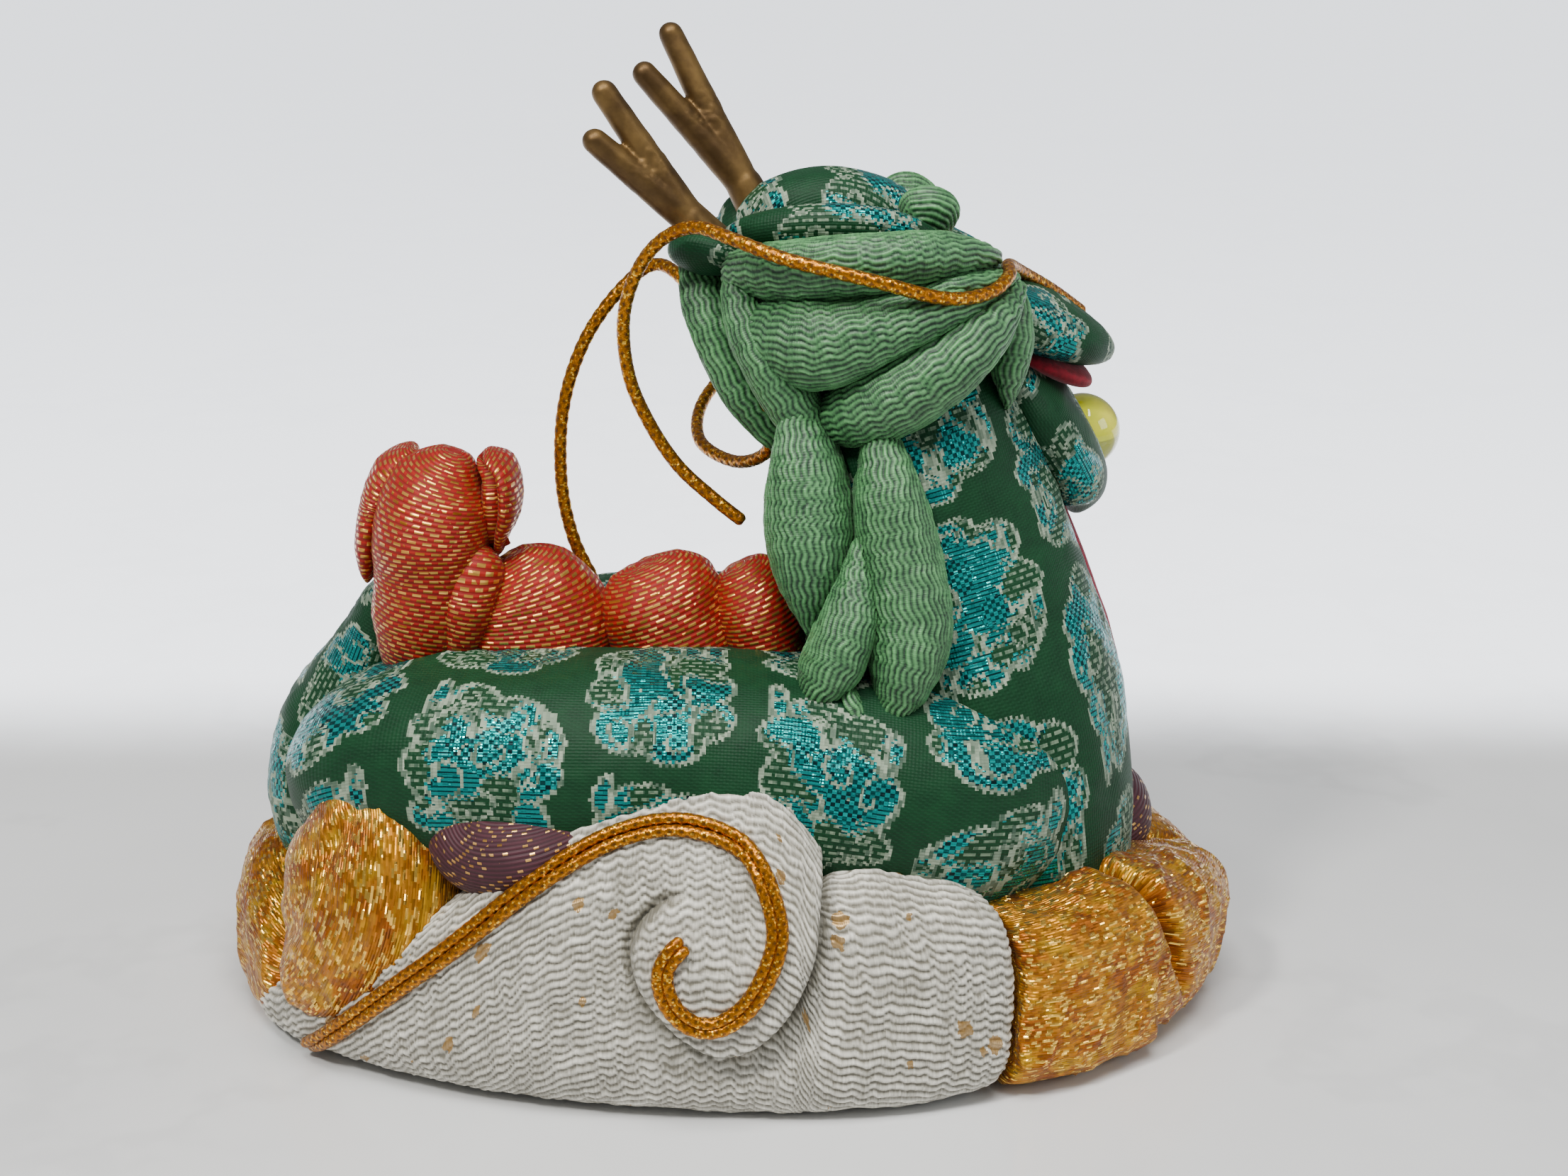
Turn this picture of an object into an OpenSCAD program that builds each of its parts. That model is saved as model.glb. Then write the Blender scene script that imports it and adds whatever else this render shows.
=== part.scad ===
// Padded fabric dragon ornament on a cloud base: stuffed rolls and pads over a moulded core, with moulded horns, cord whiskers and a glass ball.
// +X is the way the dragon faces, +Y is the far side, +Z is up, and the origin is the middle of the underside.

/* [Base] */
// Width of the cloud base, side to side
base_w = 144; // [132:1:156]
// Depth of the cloud base, front to back
base_d = 96; // [88:1:106]
// Height of the moulded core inside the cloud base
base_core_h = 18; // [14:0.5:20]
// Thickness of the sheet glued under the base
sheet_t = 0.8; // [0.5:0.1:1.5]

/* [Stuffing] */
// Plumpness of every stuffed roll, as a share of the usual thickness
plump = 1; // [0.9:0.02:1.08]
// Number of rings along each stuffed roll
roll_rings = 10; // [8:1:14]
// Number of sides round each stuffed roll
roll_sides = 10; // [8:2:14]

/* [Horns] */
// Radius of a horn's trunk where it leaves the head
horn_r = 3.1; // [2.6:0.1:3.6]
// Radius of each prong at its tip
prong_r = 1.7; // [1.4:0.1:2]
// Radius of the peg that holds a horn in the head
peg_r = 1.2; // [1:0.1:1.5]

/* [Cords and ball] */
// Diameter of the whisker cord
whisker_d = 1.8; // [1.4:0.1:2.2]
// Diameter of one strand of the cord glued on the cloud
cord_d = 1.4; // [1.1:0.1:1.6]
// Diameter of the glass ball
ball_d = 11; // [8:0.5:12]
// Diameter of each eye
eye_d = 6.4; // [5:0.2:7]

/* [Hidden] */
$fn = 32;
A = base_w / 2;
B = base_d / 2;
brocade = "#1f6b40";
crepe = "#6bb079";
white_crepe = "#dcd9cf";
gold = "#d89a33";
purple = "#6e4148";
fire = "#c8432a";
bronze = "#7c5f33";
cord_gold = "#c48a2a";
// The head looks along this direction, a little away from the near side.
head_c = [18, 5.6, 0];
head_n = [-0.196, 0.98, 0];

function unit(v) = v / norm(v);
function xyz(p) = [p[0], p[1], p[2]];
// A smooth curve through the control points, each of which may hold widths after its x, y and z.
function knot(P, i) = i < 0 ? 2 * P[0] - P[1] : i > len(P) - 1 ? 2 * P[len(P) - 1] - P[len(P) - 2] : P[i];
function blend4(a, b, c, d, t) = 0.5 * (2 * b + (c - a) * t + (2 * a - 5 * b + 4 * c - d) * t * t + (3 * b - a - 3 * c + d) * t * t * t);
function along(P, t) = let (k = len(P) - 1, s = min(max(t, 0), 1) * k, i = min(floor(s), k - 1)) blend4(knot(P, i - 1), knot(P, i), knot(P, i + 1), knot(P, i + 2), s - i);
function way(P, t) = unit(xyz(along(P, min(t + 0.01, 1))) - xyz(along(P, max(t - 0.01, 0))));
function facing(o, d) = unit(o - d * (o * d));
function bow(c, e) = sign(c) * pow(abs(c), 2 / e);
// Skin of a swept solid: rings of m points, closed by a point at each end.
function skin(n, m) = concat(
  [for (j = [0:m - 1]) [(j + 1) % m, j, n * m]],
  [for (i = [0:n - 2], j = [0:m - 1]) [i * m + j, i * m + (j + 1) % m, (i + 1) * m + (j + 1) % m]],
  [for (i = [0:n - 2], j = [0:m - 1]) [i * m + j, (i + 1) * m + (j + 1) % m, (i + 1) * m + j]],
  [for (j = [0:m - 1]) [(n - 1) * m + j, (n - 1) * m + (j + 1) % m, n * m + 1]]);

// A stuffed roll. P: [x, y, z, half width, half thickness] along its middle. o: the side that shows, one direction or one per point.
// q: how blunt its ends are. e: how square its section is. u: the thickness of its hidden side, as a share of the side that shows.
module roll(P, o = [0, -1, 0], q = 4, e = 2.2, u = 1, n = roll_rings, m = roll_sides) {
  O = is_list(o[0]) ? o : [for (p = P) o];
  pts = [for (i = [1:n - 1], j = [0:m - 1])
    let (t = (1 - cos(180 * i / n)) / 2, p = along(P, t), d = way(P, t), N = facing(along(O, t), d), S = cross(d, N),
         f = pow(1 - pow(abs(2 * t - 1), q), 1 / q), a = 360 * j / m, s = bow(sin(a), e))
    xyz(p) + S * p[3] * f * bow(cos(a), e) + N * p[4] * plump * f * s * (s < 0 ? u : 1)];
  polyhedron(concat(pts, [xyz(along(P, 0)), xyz(along(P, 1))]), skin(n - 1, m));
}

// A padded panel wrapped round a core from angle a0 to a1. Angle 0 is +X and 90 is the near side.
module wrap(P, a0, a1, inner, o = [0, -1, 0], n = 10, k = 7) {
  M = 2 * (k + 1);
  pts = [for (i = [0:n], j = [0:M - 1])
    let (t = i / n, p = along(P, t), d = way(P, t), N = facing(o, d), S = cross(d, N),
         c = j <= k ? j : M - 1 - j, a = a0 + (a1 - a0) * c / k, v = S * p[3] * cos(a) + N * p[4] * sin(a))
    xyz(p) + v * (j <= k ? plump * (1 - 0.08 * pow(abs(2 * c / k - 1), 4)) * (1 - 0.10 * pow(abs(2 * t - 1), 6)) : inner)];
  polyhedron(pts, concat(
    [for (i = [0:n - 1], j = [0:M - 1]) [i * M + j, i * M + (j + 1) % M, (i + 1) * M + (j + 1) % M]],
    [for (i = [0:n - 1], j = [0:M - 1]) [i * M + j, (i + 1) * M + (j + 1) % M, (i + 1) * M + j]],
    [for (j = [0:k - 1]) [j + 1, j, M - 2 - j]], [for (j = [0:k - 1]) [M - 2 - j, j, M - 1 - j]],
    [for (j = [0:k - 1]) [n * M + j, n * M + j + 1, n * M + M - 2 - j]], [for (j = [0:k - 1]) [n * M + j, n * M + M - 2 - j, n * M + M - 1 - j]]));
}

// A cloud pad round the rim of the base, upright in section and leaning in above its lower part. L: [angle, bottom, top, thickness] along the rim.
// q and q2: how blunt its first and last ends are.
function rim_at(l, f, c, s) = let (z = (l[1] + l[2]) / 2 - (l[2] - l[1]) / 2 * f * c, r = l[3] * (f * s * (s < 0 ? 0.25 : 1) - 1) - 0.009 * pow(max(0, z - 14), 2))
  [(A + r) * cos(l[0]), (B + r) * sin(l[0]), z];
module cloud(L, q = 8, q2 = 8, e = 3.2, n = 12, m = 12) {
  pts = [for (i = [1:n - 1], j = [0:m - 1])
    let (t = (1 - cos(180 * i / n)) / 2, p = t < 0.5 ? q : q2, a = 360 * j / m)
    rim_at(along(L, t), pow(1 - pow(abs(2 * t - 1), p), 1 / p), bow(cos(a), e), bow(sin(a), e))];
  polyhedron(concat(pts, [rim_at(along(L, 0), 0, 0, 0), rim_at(along(L, 1), 0, 0, 0)]), skin(n - 1, m));
}

// A round bar from p to p2, with a radius at each end.
module bar(p, p2, r, r2) {
  v = p2 - p;
  translate(p) rotate([0, acos(v[2] / norm(v)), atan2(v[1], v[0])]) cylinder(h = norm(v), r1 = r, r2 = r2);
}

// A cord of round section along its route. up is a direction that the route never follows.
module cord(P, d, n, up = [0, 1, 0], m = 8) {
  pts = [for (i = [0:n], j = [0:m - 1])
    let (t = i / n, D = way(P, t), N = facing(up, D), S = cross(D, N), a = 360 * j / m)
    xyz(along(P, t)) + (S * cos(a) + N * sin(a)) * d / 2];
  polyhedron(concat(pts, [xyz(along(P, 0)), xyz(along(P, 1))]), skin(n + 1, m));
}

// The same piece on the far side of the head.
module far_side() { translate(head_c) mirror(head_n) translate(-head_c) children(); }
// The same piece on the far side of the neck.
module far_neck() { translate([0, -1, 0]) mirror([0, 1, 0]) children(); }

// Front surface of the padded cloud at x and z, for the cord glued on it
function rim_y(x, z) = -B * sqrt(max(0.05, 1 - pow(x / A, 2))) + 0.009 * pow(max(0, z - 14), 2);

neck_path = [[38, -4, 18, 22.5, 24], [37, -4, 32, 21.5, 23.5], [34, -3, 46, 22, 22], [29, 0, 64, 20, 19.5], [24.5, 2, 80, 17.5, 18.5], [21, 4, 91, 13.5, 15]];
whisker_near_route = [[50, 14, 95], [45, 9, 99], [40, 3, 102.5], [37.5, -4, 104.5], [37, -10, 104], [34, -14.5, 102.5], [28, -18.5, 102.5], [19, -20.5, 105], [8, -19, 107.5],
  [1, -15, 109.5], [-4, -11, 110.5], [-8.5, -8, 108.5], [-12, -6, 104], [-14, -5, 97.5], [-13.5, -5, 90], [-11, -5, 83.5], [-7, -6, 77.5], [-2, -7, 73], [2, -8, 70]];
whisker_far_route = [[51, 18, 93], [45, 22, 96.5], [36, 27.5, 98.5], [25, 32, 97], [13, 33, 92.5], [3, 28.5, 87], [-4, 19, 81.5], [-4.5, 9, 77.5], [1, 0, 76.5],
  [5.5, -6, 80], [4, -8, 87], [-1, -6, 95], [-5.5, -2, 101.5], [-10, 3, 103.5], [-15, 3, 100], [-20, 2, 93], [-23, 1, 84], [-23.5, 0, 74], [-22, -1, 66], [-19, -2, 59.5]];
cloud_cord_outer = [[-58, 2], [-52, 8], [-43.5, 16], [-36.5, 22], [-28, 29.5], [-22, 34], [-16, 37.5], [-10, 39.5], [-5, 40], [0, 39], [4, 36.5], [6.5, 32], [7.5, 27], [6, 22], [3, 17], [-1.5, 14.5], [-5.5, 15.5], [-8, 19], [-8.5, 22.5], [-7, 25.5], [-5, 27]];
cloud_cord_inner = [[-57, 0.8], [-51, 6.8], [-42.5, 14.8], [-35.5, 20.8], [-27, 28.3], [-21.5, 32.6], [-15.5, 36], [-10, 38], [-5, 38.5], [-0.6, 37.6], [3, 35.3], [5, 31.5], [6, 27], [4.6, 22.5], [2, 18.3], [-1.5, 16], [-4.7, 17], [-6.5, 19.5], [-7, 22.5], [-5.8, 24.6], [-4.4, 25.6]];

module underside_sheet() { color("#8c8578") linear_extrude(sheet_t) polygon([for (i = [0:47]) [(A - 8) * cos(i * 7.5), (B - 8) * sin(i * 7.5)]]); }
module base_core() { color("#b7a68a") translate([0, 0, sheet_t]) linear_extrude(base_core_h) polygon([for (i = [0:47]) [(A - 14) * cos(i * 7.5), (B - 13) * sin(i * 7.5)]]); }
module neck_core() { color("#b7a68a") bar([37, -4, sheet_t + base_core_h], [25, 2, 84], 9.5, 8); }
module head_core() {
  color("#b7a68a") difference() {
    union() { translate([12, 4.5, 97]) sphere(r = 12); bar([12, 4.5, 97], [34, 8.5, 97], 10, 5); }
    bar([-1, -2, 106], [5, 1.5, 100.5], peg_r + 0.05, peg_r + 0.05);
    bar([5, 9, 108], [9.5, 7.5, 101.5], peg_r + 0.05, peg_r + 0.05);
  }
}

module cloud_white_front() { color(white_crepe) cloud([[-163, 0.3, 7, 6], [-152, 0.3, 8.5, 8], [-144, 0.3, 12, 9], [-138, 0.3, 15, 9], [-125, 0.3, 25, 9], [-116, 0.3, 32.5, 9], [-106.5, 0.3, 41, 9], [-94, 0.3, 45, 9], [-87, 0.3, 44.5, 9], [-82.5, 0.3, 41, 9], [-79, 0.3, 34, 9], [-71, 0.3, 32, 9], [-57, 0.3, 28, 9]], q = 8, q2 = 16, n = 17); }
module cloud_white_curl() { color(white_crepe) roll([[-1, -48, 12, 4, 2], [0, -48.5, 19, 10.5, 3], [1, -47.5, 26, 12.5, 3], [2, -44.5, 35, 11.5, 3], [-1, -40, 43, 5, 2]], u = 0.6, q = 4); }
module cloud_gold_left_upper() { color(gold) roll([[-48, -18, 38, 6, 8], [-46, -23, 32, 12.5, 11], [-47, -26, 23, 13.5, 12], [-53, -25, 13, 10, 9], [-58, -22, 8, 5, 7]], o = [-0.45, -0.9, 0.1], u = 0.7); }
module cloud_gold_left_outer() { color(gold) cloud([[140, 0.3, 17, 8], [160, 0.3, 21, 9], [180, 0.3, 22, 10], [195, 0.3, 18, 10], [207, 0.3, 11, 7]]); }
module cloud_purple_left() { color(purple) roll([[-38, -27, 35.5, 3, 6], [-32, -30.5, 32.5, 6.5, 8.5], [-24, -33, 33.5, 6, 9], [-14.5, -33.5, 36.5, 2, 5]], u = 0.6); }
module cloud_gold_right() { color(gold) cloud([[-57, 0.3, 24, 9.5], [-50, 0.3, 24.5, 11], [-43, 0.3, 25, 11], [-35, 0.3, 25, 10]], q = 16, q2 = 8, n = 10); }
module cloud_gold_right_outer() { color(gold) cloud([[-36, 0.3, 25, 10], [-26, 0.3, 24, 12], [-12, 0.3, 22.5, 12.5], [0, 0.3, 20, 12], [10, 0.3, 17, 10]]); }
module cloud_purple_right() { color(purple) roll([[51, -8, 21, 3, 5], [54.5, 1, 23, 6, 7], [52, 12, 23, 6, 7], [45, 20, 21, 3, 5]], o = [1, 0.2, 0.2], u = 0.6); }
module cloud_white_back() { color(white_crepe) cloud([[50, 0.3, 22, 9], [72, 0.3, 30, 10], [95, 0.3, 33, 10], [118, 0.3, 28, 9], [138, 0.3, 20, 8]]); }
module cloud_gold_back_left() { color(gold) roll([[-30, 38, 22, 4, 6], [-40, 33, 24, 9, 9], [-52, 25, 22, 10, 9], [-60, 15, 18, 6, 7]], o = [-0.4, 0.9, 0.1], u = 0.6); }
module cloud_gold_back_right() { color(gold) cloud([[8, 0.3, 17, 10], [25, 0.3, 19.5, 11], [40, 0.3, 21, 10], [54, 0.3, 20, 9]]); }

module body_front() { color(brocade) roll([[45, -9, 31, 14, 14], [28, -18, 34, 17, 18], [3, -20, 38, 16.5, 18], [-22, -20, 38.5, 16.5, 18], [-43, -15, 37, 16, 17], [-55, -4, 31, 13.5, 14]], n = 14, m = 12); }
module body_tail() { color(brocade) roll([[-54, 4, 14, 10, 12], [-57, 2, 26, 10.5, 13], [-56, 3, 37, 9.5, 12], [-51, 2, 48, 6.5, 9], [-47, 0, 59, 4.5, 7]], n = 12); }
module body_back() { color(brocade) roll([[44, 9, 31, 14, 14], [27, 16, 34, 16, 17], [2, 17, 37.5, 16.5, 18], [-24, 15, 37.5, 16.5, 18], [-45, 9, 33, 14, 14]], o = [0, 1, 0], n = 14, m = 12); }
module neck_near() { color(brocade) wrap(neck_path, 0, 182, 0.5, n = 8); }
module neck_far() { color(brocade) wrap(neck_path, 182, 305, 0.5, n = 8, k = 5); }
module neck_belly() { color("#b3284a") wrap(neck_path, -55, 0, 0.5, n = 10, k = 3); }

module fin_1() { color(fire) roll([[-37, -11, 50, 2, 5], [-36, -11, 56, 3.6, 6.5], [-35, -11, 61, 4.3, 7], [-34.5, -11, 64.5, 4.5, 6], [-34, -10, 67.5, 3, 4]]); }
module fin_2() { color(fire) roll([[-26, -8, 47, 10.5, 8], [-26.5, -8, 52.5, 11.5, 9.5], [-27, -8, 57.5, 10.5, 9], [-28, -8, 61.5, 8.2, 8], [-30, -8, 65.5, 5, 5]]); }
module fin_3() { color(fire) roll([[-5.5, -8, 46, 8.5, 8], [-7, -8, 51.5, 9.3, 9.5], [-8.5, -8, 56, 9, 9], [-10.3, -8, 60.5, 8.6, 8], [-11.8, -8, 64.3, 7, 5]]); }
module fin_4() { color(fire) roll([[6, -8, 46, 4, 7], [5.5, -8, 51, 5, 9], [4.5, -8, 55.5, 6, 9], [3, -8, 60, 5.8, 8], [1, -8, 64, 4.8, 5]]); }
module tail_flame() { color(fire) roll([[-44.5, -8, 45.5, 4, 7], [-43, -8, 51.5, 6, 9], [-41.7, -8, 57, 7.6, 10], [-40.7, -8, 63, 7.9, 10.5], [-40.3, -8, 69, 8.2, 11.5], [-39, -8, 75, 7.6, 10], [-37, -8, 80, 4.2, 6]], n = 12); }
module tail_flame_curl() { color(fire) roll([[-33.5, -8, 79.5, 1.8, 5], [-31, -8, 77, 2.6, 7], [-30.7, -8, 73, 2.6, 7], [-31.5, -8, 69, 1.8, 6], [-32, -8, 65.5, 0.8, 4]]); }
module tail_flame_lobe() { color(fire) roll([[-50, -5, 61, 0.8, 5], [-49.5, -5, 66.5, 2, 7], [-48.3, -4, 72, 2.5, 8], [-46, -4, 76.5, 2.5, 7], [-43, -4, 79.5, 1.4, 5]]); }

module mane_top_band() { color(crepe) roll([[0, -5, 103.5, 3.6, 4.5], [9, -11, 104.3, 4.3, 6.5], [18.5, -13, 105.3, 4.3, 6.5], [27, -11, 106, 3.6, 6], [35.5, -5, 105, 1, 4]], o = [0, -0.9, 0.4], u = 0.5); }
module mane_middle() { color(crepe) roll([[37, -5, 102.5, 1, 3], [28.5, -12, 100.7, 3.4, 6], [20, -14, 98, 4.8, 7], [11.5, -13, 95.8, 6.6, 7], [2, -8, 97, 4.6, 5]], u = 0.5); }
module mane_upper_small() { color(crepe) roll([[22, -13.5, 102.3, 0.8, 4], [30, -11, 103.4, 1.8, 5], [38, -3, 103, 1.2, 3]], u = 0.5, n = 8); }
module mane_diagonal() { color(crepe) roll([[38.5, -4, 101.5, 1.6, 4], [33, -10, 96.7, 4.2, 6.5], [27, -13, 92, 5.2, 7.5], [20.5, -13, 88, 5.4, 7.5], [12.5, -11, 84, 4.2, 5]], u = 0.5); }
module mane_cheek_tuft() { color(crepe) roll([[38.5, -1, 102, 1.2, 3.5], [38.2, -5, 96, 2.6, 4.5], [37.6, -7, 91, 2.5, 4], [37.4, -8, 85.5, 0.6, 2]], u = 0.6); }
module mane_back_outer() { color(crepe) roll([[-4.5, 2, 106, 3, 4], [-1.7, -1, 98.5, 3.8, 6], [1, -3, 92.2, 3.6, 6], [4.5, -4, 86, 3.2, 6], [9, -6, 78, 1.8, 3]], o = [-0.5, -0.85, 0], u = 0.6); }
module mane_back_inner() { color(crepe) roll([[0.5, -5, 105, 2, 4], [2.8, -8, 97.5, 3.4, 6], [5.8, -10, 91.8, 3.6, 6.5], [9.5, -11, 86, 3.6, 6], [14.5, -12, 78.5, 1.8, 4]], u = 0.6); }
module mane_lower_left() { color(crepe) roll([[9, -9, 89.5, 1.2, 4], [10.5, -13, 80.5, 5, 8], [11, -15, 72.5, 6.1, 9], [11.3, -17.5, 65, 5, 8], [11.5, -20, 57, 1.2, 4]], o = [-0.2, -1, 0], u = 0.6); }
module mane_small() { color(crepe) roll([[17.3, -20, 71, 0.8, 3], [16.7, -21, 64, 3.2, 6], [15.3, -23, 58.5, 4, 7], [12.8, -25, 53.5, 3.8, 6], [9.5, -26, 49, 1, 3]], u = 0.6); }
module mane_lower_right() { color(crepe) roll([[20, -12, 86.5, 2.6, 5], [21.3, -16, 76.5, 5, 7.5], [23, -18, 68, 5.7, 8], [24.3, -21, 59.5, 6, 8], [23, -24, 52, 4.2, 7], [19.8, -27, 44.5, 0.8, 3]], u = 0.6); }
module mane_tip() { color(crepe) roll([[15.5, -26, 53, 1, 3], [17, -26.5, 49, 1.7, 4], [18.5, -27, 45.5, 0.7, 2]], n = 8); }
module mane_nape() { color(crepe) roll([[1, 6, 106, 4, 3.5], [1.5, 6, 98, 8.5, 5], [5, 6, 91, 9, 5.5], [10, 5, 83, 9.5, 6], [13, 2, 74, 9, 6.5], [14, 1, 64, 7, 6], [14, 0, 55, 3, 4]], o = [-1, 0.1, 0.2], n = 12); }
module mane_far_top() { color(crepe) far_side() mane_top_band(); }
module mane_far_middle() { color(crepe) far_side() mane_middle(); }
module mane_far_diagonal() { color(crepe) far_side() mane_diagonal(); }
module mane_far_cheek() { color(crepe) far_side() mane_cheek_tuft(); }
module mane_far_lower() { color(crepe) far_neck() mane_lower_right(); }

module crown_near() { color(brocade) roll([[0, -2, 107.5, 1.5, 3.5], [6.5, -5, 108.7, 2.8, 4.5], [13.5, -6.5, 109.2, 3.3, 5], [21, -5.5, 108.8, 2.8, 4.5], [28, -3, 107.5, 1.2, 3]], o = [0, -0.75, 0.66]); }
module crown_far() { color(brocade) roll([[1, 6, 108, 2, 3], [7, 7, 110, 5.5, 5], [14, 8, 110.3, 6.8, 6], [21, 8, 109.5, 5.8, 5], [28, 7, 107.5, 2.4, 3]], o = [0, -0.1, 1]); }
module brows() {
  color(crepe) roll([[23.5, -1.5, 110, 2, 3], [26.8, -2, 110.8, 3.1, 4], [30, -1.5, 109.3, 1.8, 3]], o = [0, -0.4, 0.9], n = 8);
  color(crepe) roll([[21, 14.5, 110, 1.6, 3], [25, 15.5, 110.5, 2.4, 4], [29, 15.5, 109, 1.6, 3]], o = [0, 0.4, 0.9], n = 8);
}
module face() { color(brocade) roll([[8, 4, 102, 5, 12], [18, 6, 103.5, 5.5, 13], [28, 8, 103, 5.5, 12.5], [37, 9.5, 99.5, 4.5, 11]], o = [0, -1, 0]); }
module horn_roots() {
  color(brocade) roll([[-6, 0, 105.5, 1.8, 4], [-3, -3, 106, 3, 5], [1, -6, 106, 2, 4]], o = [-0.4, -0.8, 0.3], n = 8);
  color(brocade) roll([[-1.5, 13, 107, 1.8, 4], [2, 12, 108.5, 3, 5], [6, 14, 108.5, 2, 4]], o = [-0.3, 0.8, 0.3], n = 8);
}

module upper_jaw() { color(brocade) roll([[26, 6, 99.5, 5, 12.5], [37, 8, 97.5, 5, 14], [46, 10, 93.5, 4.2, 12], [53, 12, 90.5, 2.4, 7]]); }
module lower_jaw() { color(brocade) roll([[36.5, 5, 92, 3, 10], [41, 7, 85, 5.3, 13], [46, 9, 77.5, 5.6, 13], [49, 10, 71.5, 4.8, 11], [49.5, 10, 67, 2.2, 6]]); }
module mouth_lining() { color("#9c1f3c") roll([[37, 8, 92.5, 1, 8], [43, 9, 90, 1.9, 11], [49, 11, 87.3, 1.6, 9]], n = 8); }
module glass_ball() { color("#cfd53a") translate([51, 17, 77]) sphere(d = ball_d); }
module eyes() {
  color("#e9e2c8") translate([31, 0.5, 104.5]) sphere(d = eye_d);
  color("#e9e2c8") translate([28, 14.5, 104.5]) sphere(d = eye_d);
}

// A forked horn: peg, trunk, and two prongs with round tips
module horn(root, fork, tip_a, tip_b, peg) {
  bar(peg, root, peg_r, peg_r);
  bar(root, fork, horn_r, horn_r * 0.8);
  translate(fork) sphere(r = horn_r * 0.82);
  bar(fork, tip_a, horn_r * 0.74, prong_r);
  translate(tip_a) sphere(r = prong_r * 1.02);
  bar(fork, tip_b, horn_r * 0.74, prong_r);
  translate(tip_b) sphere(r = prong_r * 1.02);
}
module horn_near() { color(bronze) horn([-1, -2, 106], [-5, -3.5, 110.5], [-17.2, -6, 121], [-16, -3.5, 127], [4, 0.5, 101.5]); }
module horn_far() { color(bronze) horn([5, 9, 108], [2, 9.5, 113.5], [-11.5, 9.5, 128.5], [-8, 13, 133.5], [9, 7.8, 102.5]); }
module whisker_near() { color(cord_gold) cord(whisker_near_route, whisker_d, 26); }
module whisker_far() { color(cord_gold) cord(whisker_far_route, whisker_d, 28, up = [0.2, 0.1, -1]); }
module cloud_cord() {
  color(cord_gold) for (L = [cloud_cord_outer, cloud_cord_inner])
    cord([for (p = L) [p[0], rim_y(p[0], p[1]) - 1.4, p[1]]], cord_d, 20);
}

underside_sheet();
base_core();
neck_core();
head_core();
cloud_white_front();
cloud_white_curl();
cloud_gold_left_upper();
cloud_gold_left_outer();
cloud_purple_left();
cloud_gold_right();
cloud_gold_right_outer();
cloud_purple_right();
cloud_white_back();
cloud_gold_back_left();
cloud_gold_back_right();
body_front();
body_tail();
body_back();
neck_near();
neck_far();
neck_belly();
fin_1();
fin_2();
fin_3();
fin_4();
tail_flame();
tail_flame_curl();
tail_flame_lobe();
mane_top_band();
mane_middle();
mane_upper_small();
mane_diagonal();
mane_cheek_tuft();
mane_back_outer();
mane_back_inner();
mane_lower_left();
mane_small();
mane_lower_right();
mane_tip();
mane_nape();
mane_far_top();
mane_far_middle();
mane_far_diagonal();
mane_far_cheek();
mane_far_lower();
crown_near();
crown_far();
brows();
face();
horn_roots();
upper_jaw();
lower_jaw();
mouth_lining();
glass_ball();
eyes();
horn_near();
horn_far();
whisker_near();
whisker_far();
cloud_cord();
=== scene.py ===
import bpy
import math
import numpy as np
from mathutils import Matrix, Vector
from mathutils.bvhtree import BVHTree


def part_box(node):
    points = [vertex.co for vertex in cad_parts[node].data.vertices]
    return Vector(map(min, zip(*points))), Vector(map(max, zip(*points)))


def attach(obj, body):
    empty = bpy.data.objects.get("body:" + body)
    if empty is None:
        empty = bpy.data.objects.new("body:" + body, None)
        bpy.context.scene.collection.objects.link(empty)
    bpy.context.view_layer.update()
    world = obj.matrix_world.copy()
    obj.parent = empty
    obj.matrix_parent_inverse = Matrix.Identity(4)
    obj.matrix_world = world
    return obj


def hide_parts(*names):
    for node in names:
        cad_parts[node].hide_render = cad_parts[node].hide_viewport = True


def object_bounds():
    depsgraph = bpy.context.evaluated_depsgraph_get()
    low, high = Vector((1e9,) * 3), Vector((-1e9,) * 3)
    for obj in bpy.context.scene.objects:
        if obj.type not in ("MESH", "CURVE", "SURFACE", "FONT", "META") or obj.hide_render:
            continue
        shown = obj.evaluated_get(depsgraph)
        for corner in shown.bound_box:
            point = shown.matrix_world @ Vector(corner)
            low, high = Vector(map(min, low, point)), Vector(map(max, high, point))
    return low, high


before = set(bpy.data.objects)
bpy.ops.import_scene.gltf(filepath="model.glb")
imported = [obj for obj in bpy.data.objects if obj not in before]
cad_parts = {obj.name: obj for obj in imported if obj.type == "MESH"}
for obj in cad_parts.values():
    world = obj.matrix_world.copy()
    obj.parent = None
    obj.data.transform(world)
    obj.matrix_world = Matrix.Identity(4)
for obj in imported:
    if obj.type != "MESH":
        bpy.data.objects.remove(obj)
CAD_BOX = [[float(c) for c in v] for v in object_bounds()]
MM = 0.001
DET = 1.0  # spacing of the mesh points, as a share of the full detail
LO, HI = CAD_BOX
MID_X = (LO[0] + HI[0]) / 2
TALL = HI[2] - LO[2]
HALF_W, HALF_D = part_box("base_core")[1][0] / MM + 14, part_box("base_core")[1][1] / MM + 13  # outer half sizes of the cloud base

# ------------------------------------------------------------------ camera
TILT = math.radians(17.0)
REACH = 0.320
aim = Vector((MID_X + 0.0075, 0.0, TALL * 0.43))
cam_data = bpy.data.cameras.new("camera")
cam_data.lens = 52.0
cam_data.sensor_width = 36.0
cam_data.clip_start = 0.01
cam = bpy.data.objects.new("camera", cam_data)
cam.location = aim + Vector((0.0, -REACH * math.cos(TILT), REACH * math.sin(TILT)))
cam.rotation_euler = (math.pi / 2 - TILT, 0.0, 0.0)
bpy.context.scene.collection.objects.link(cam)
bpy.context.scene.camera = cam

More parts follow.
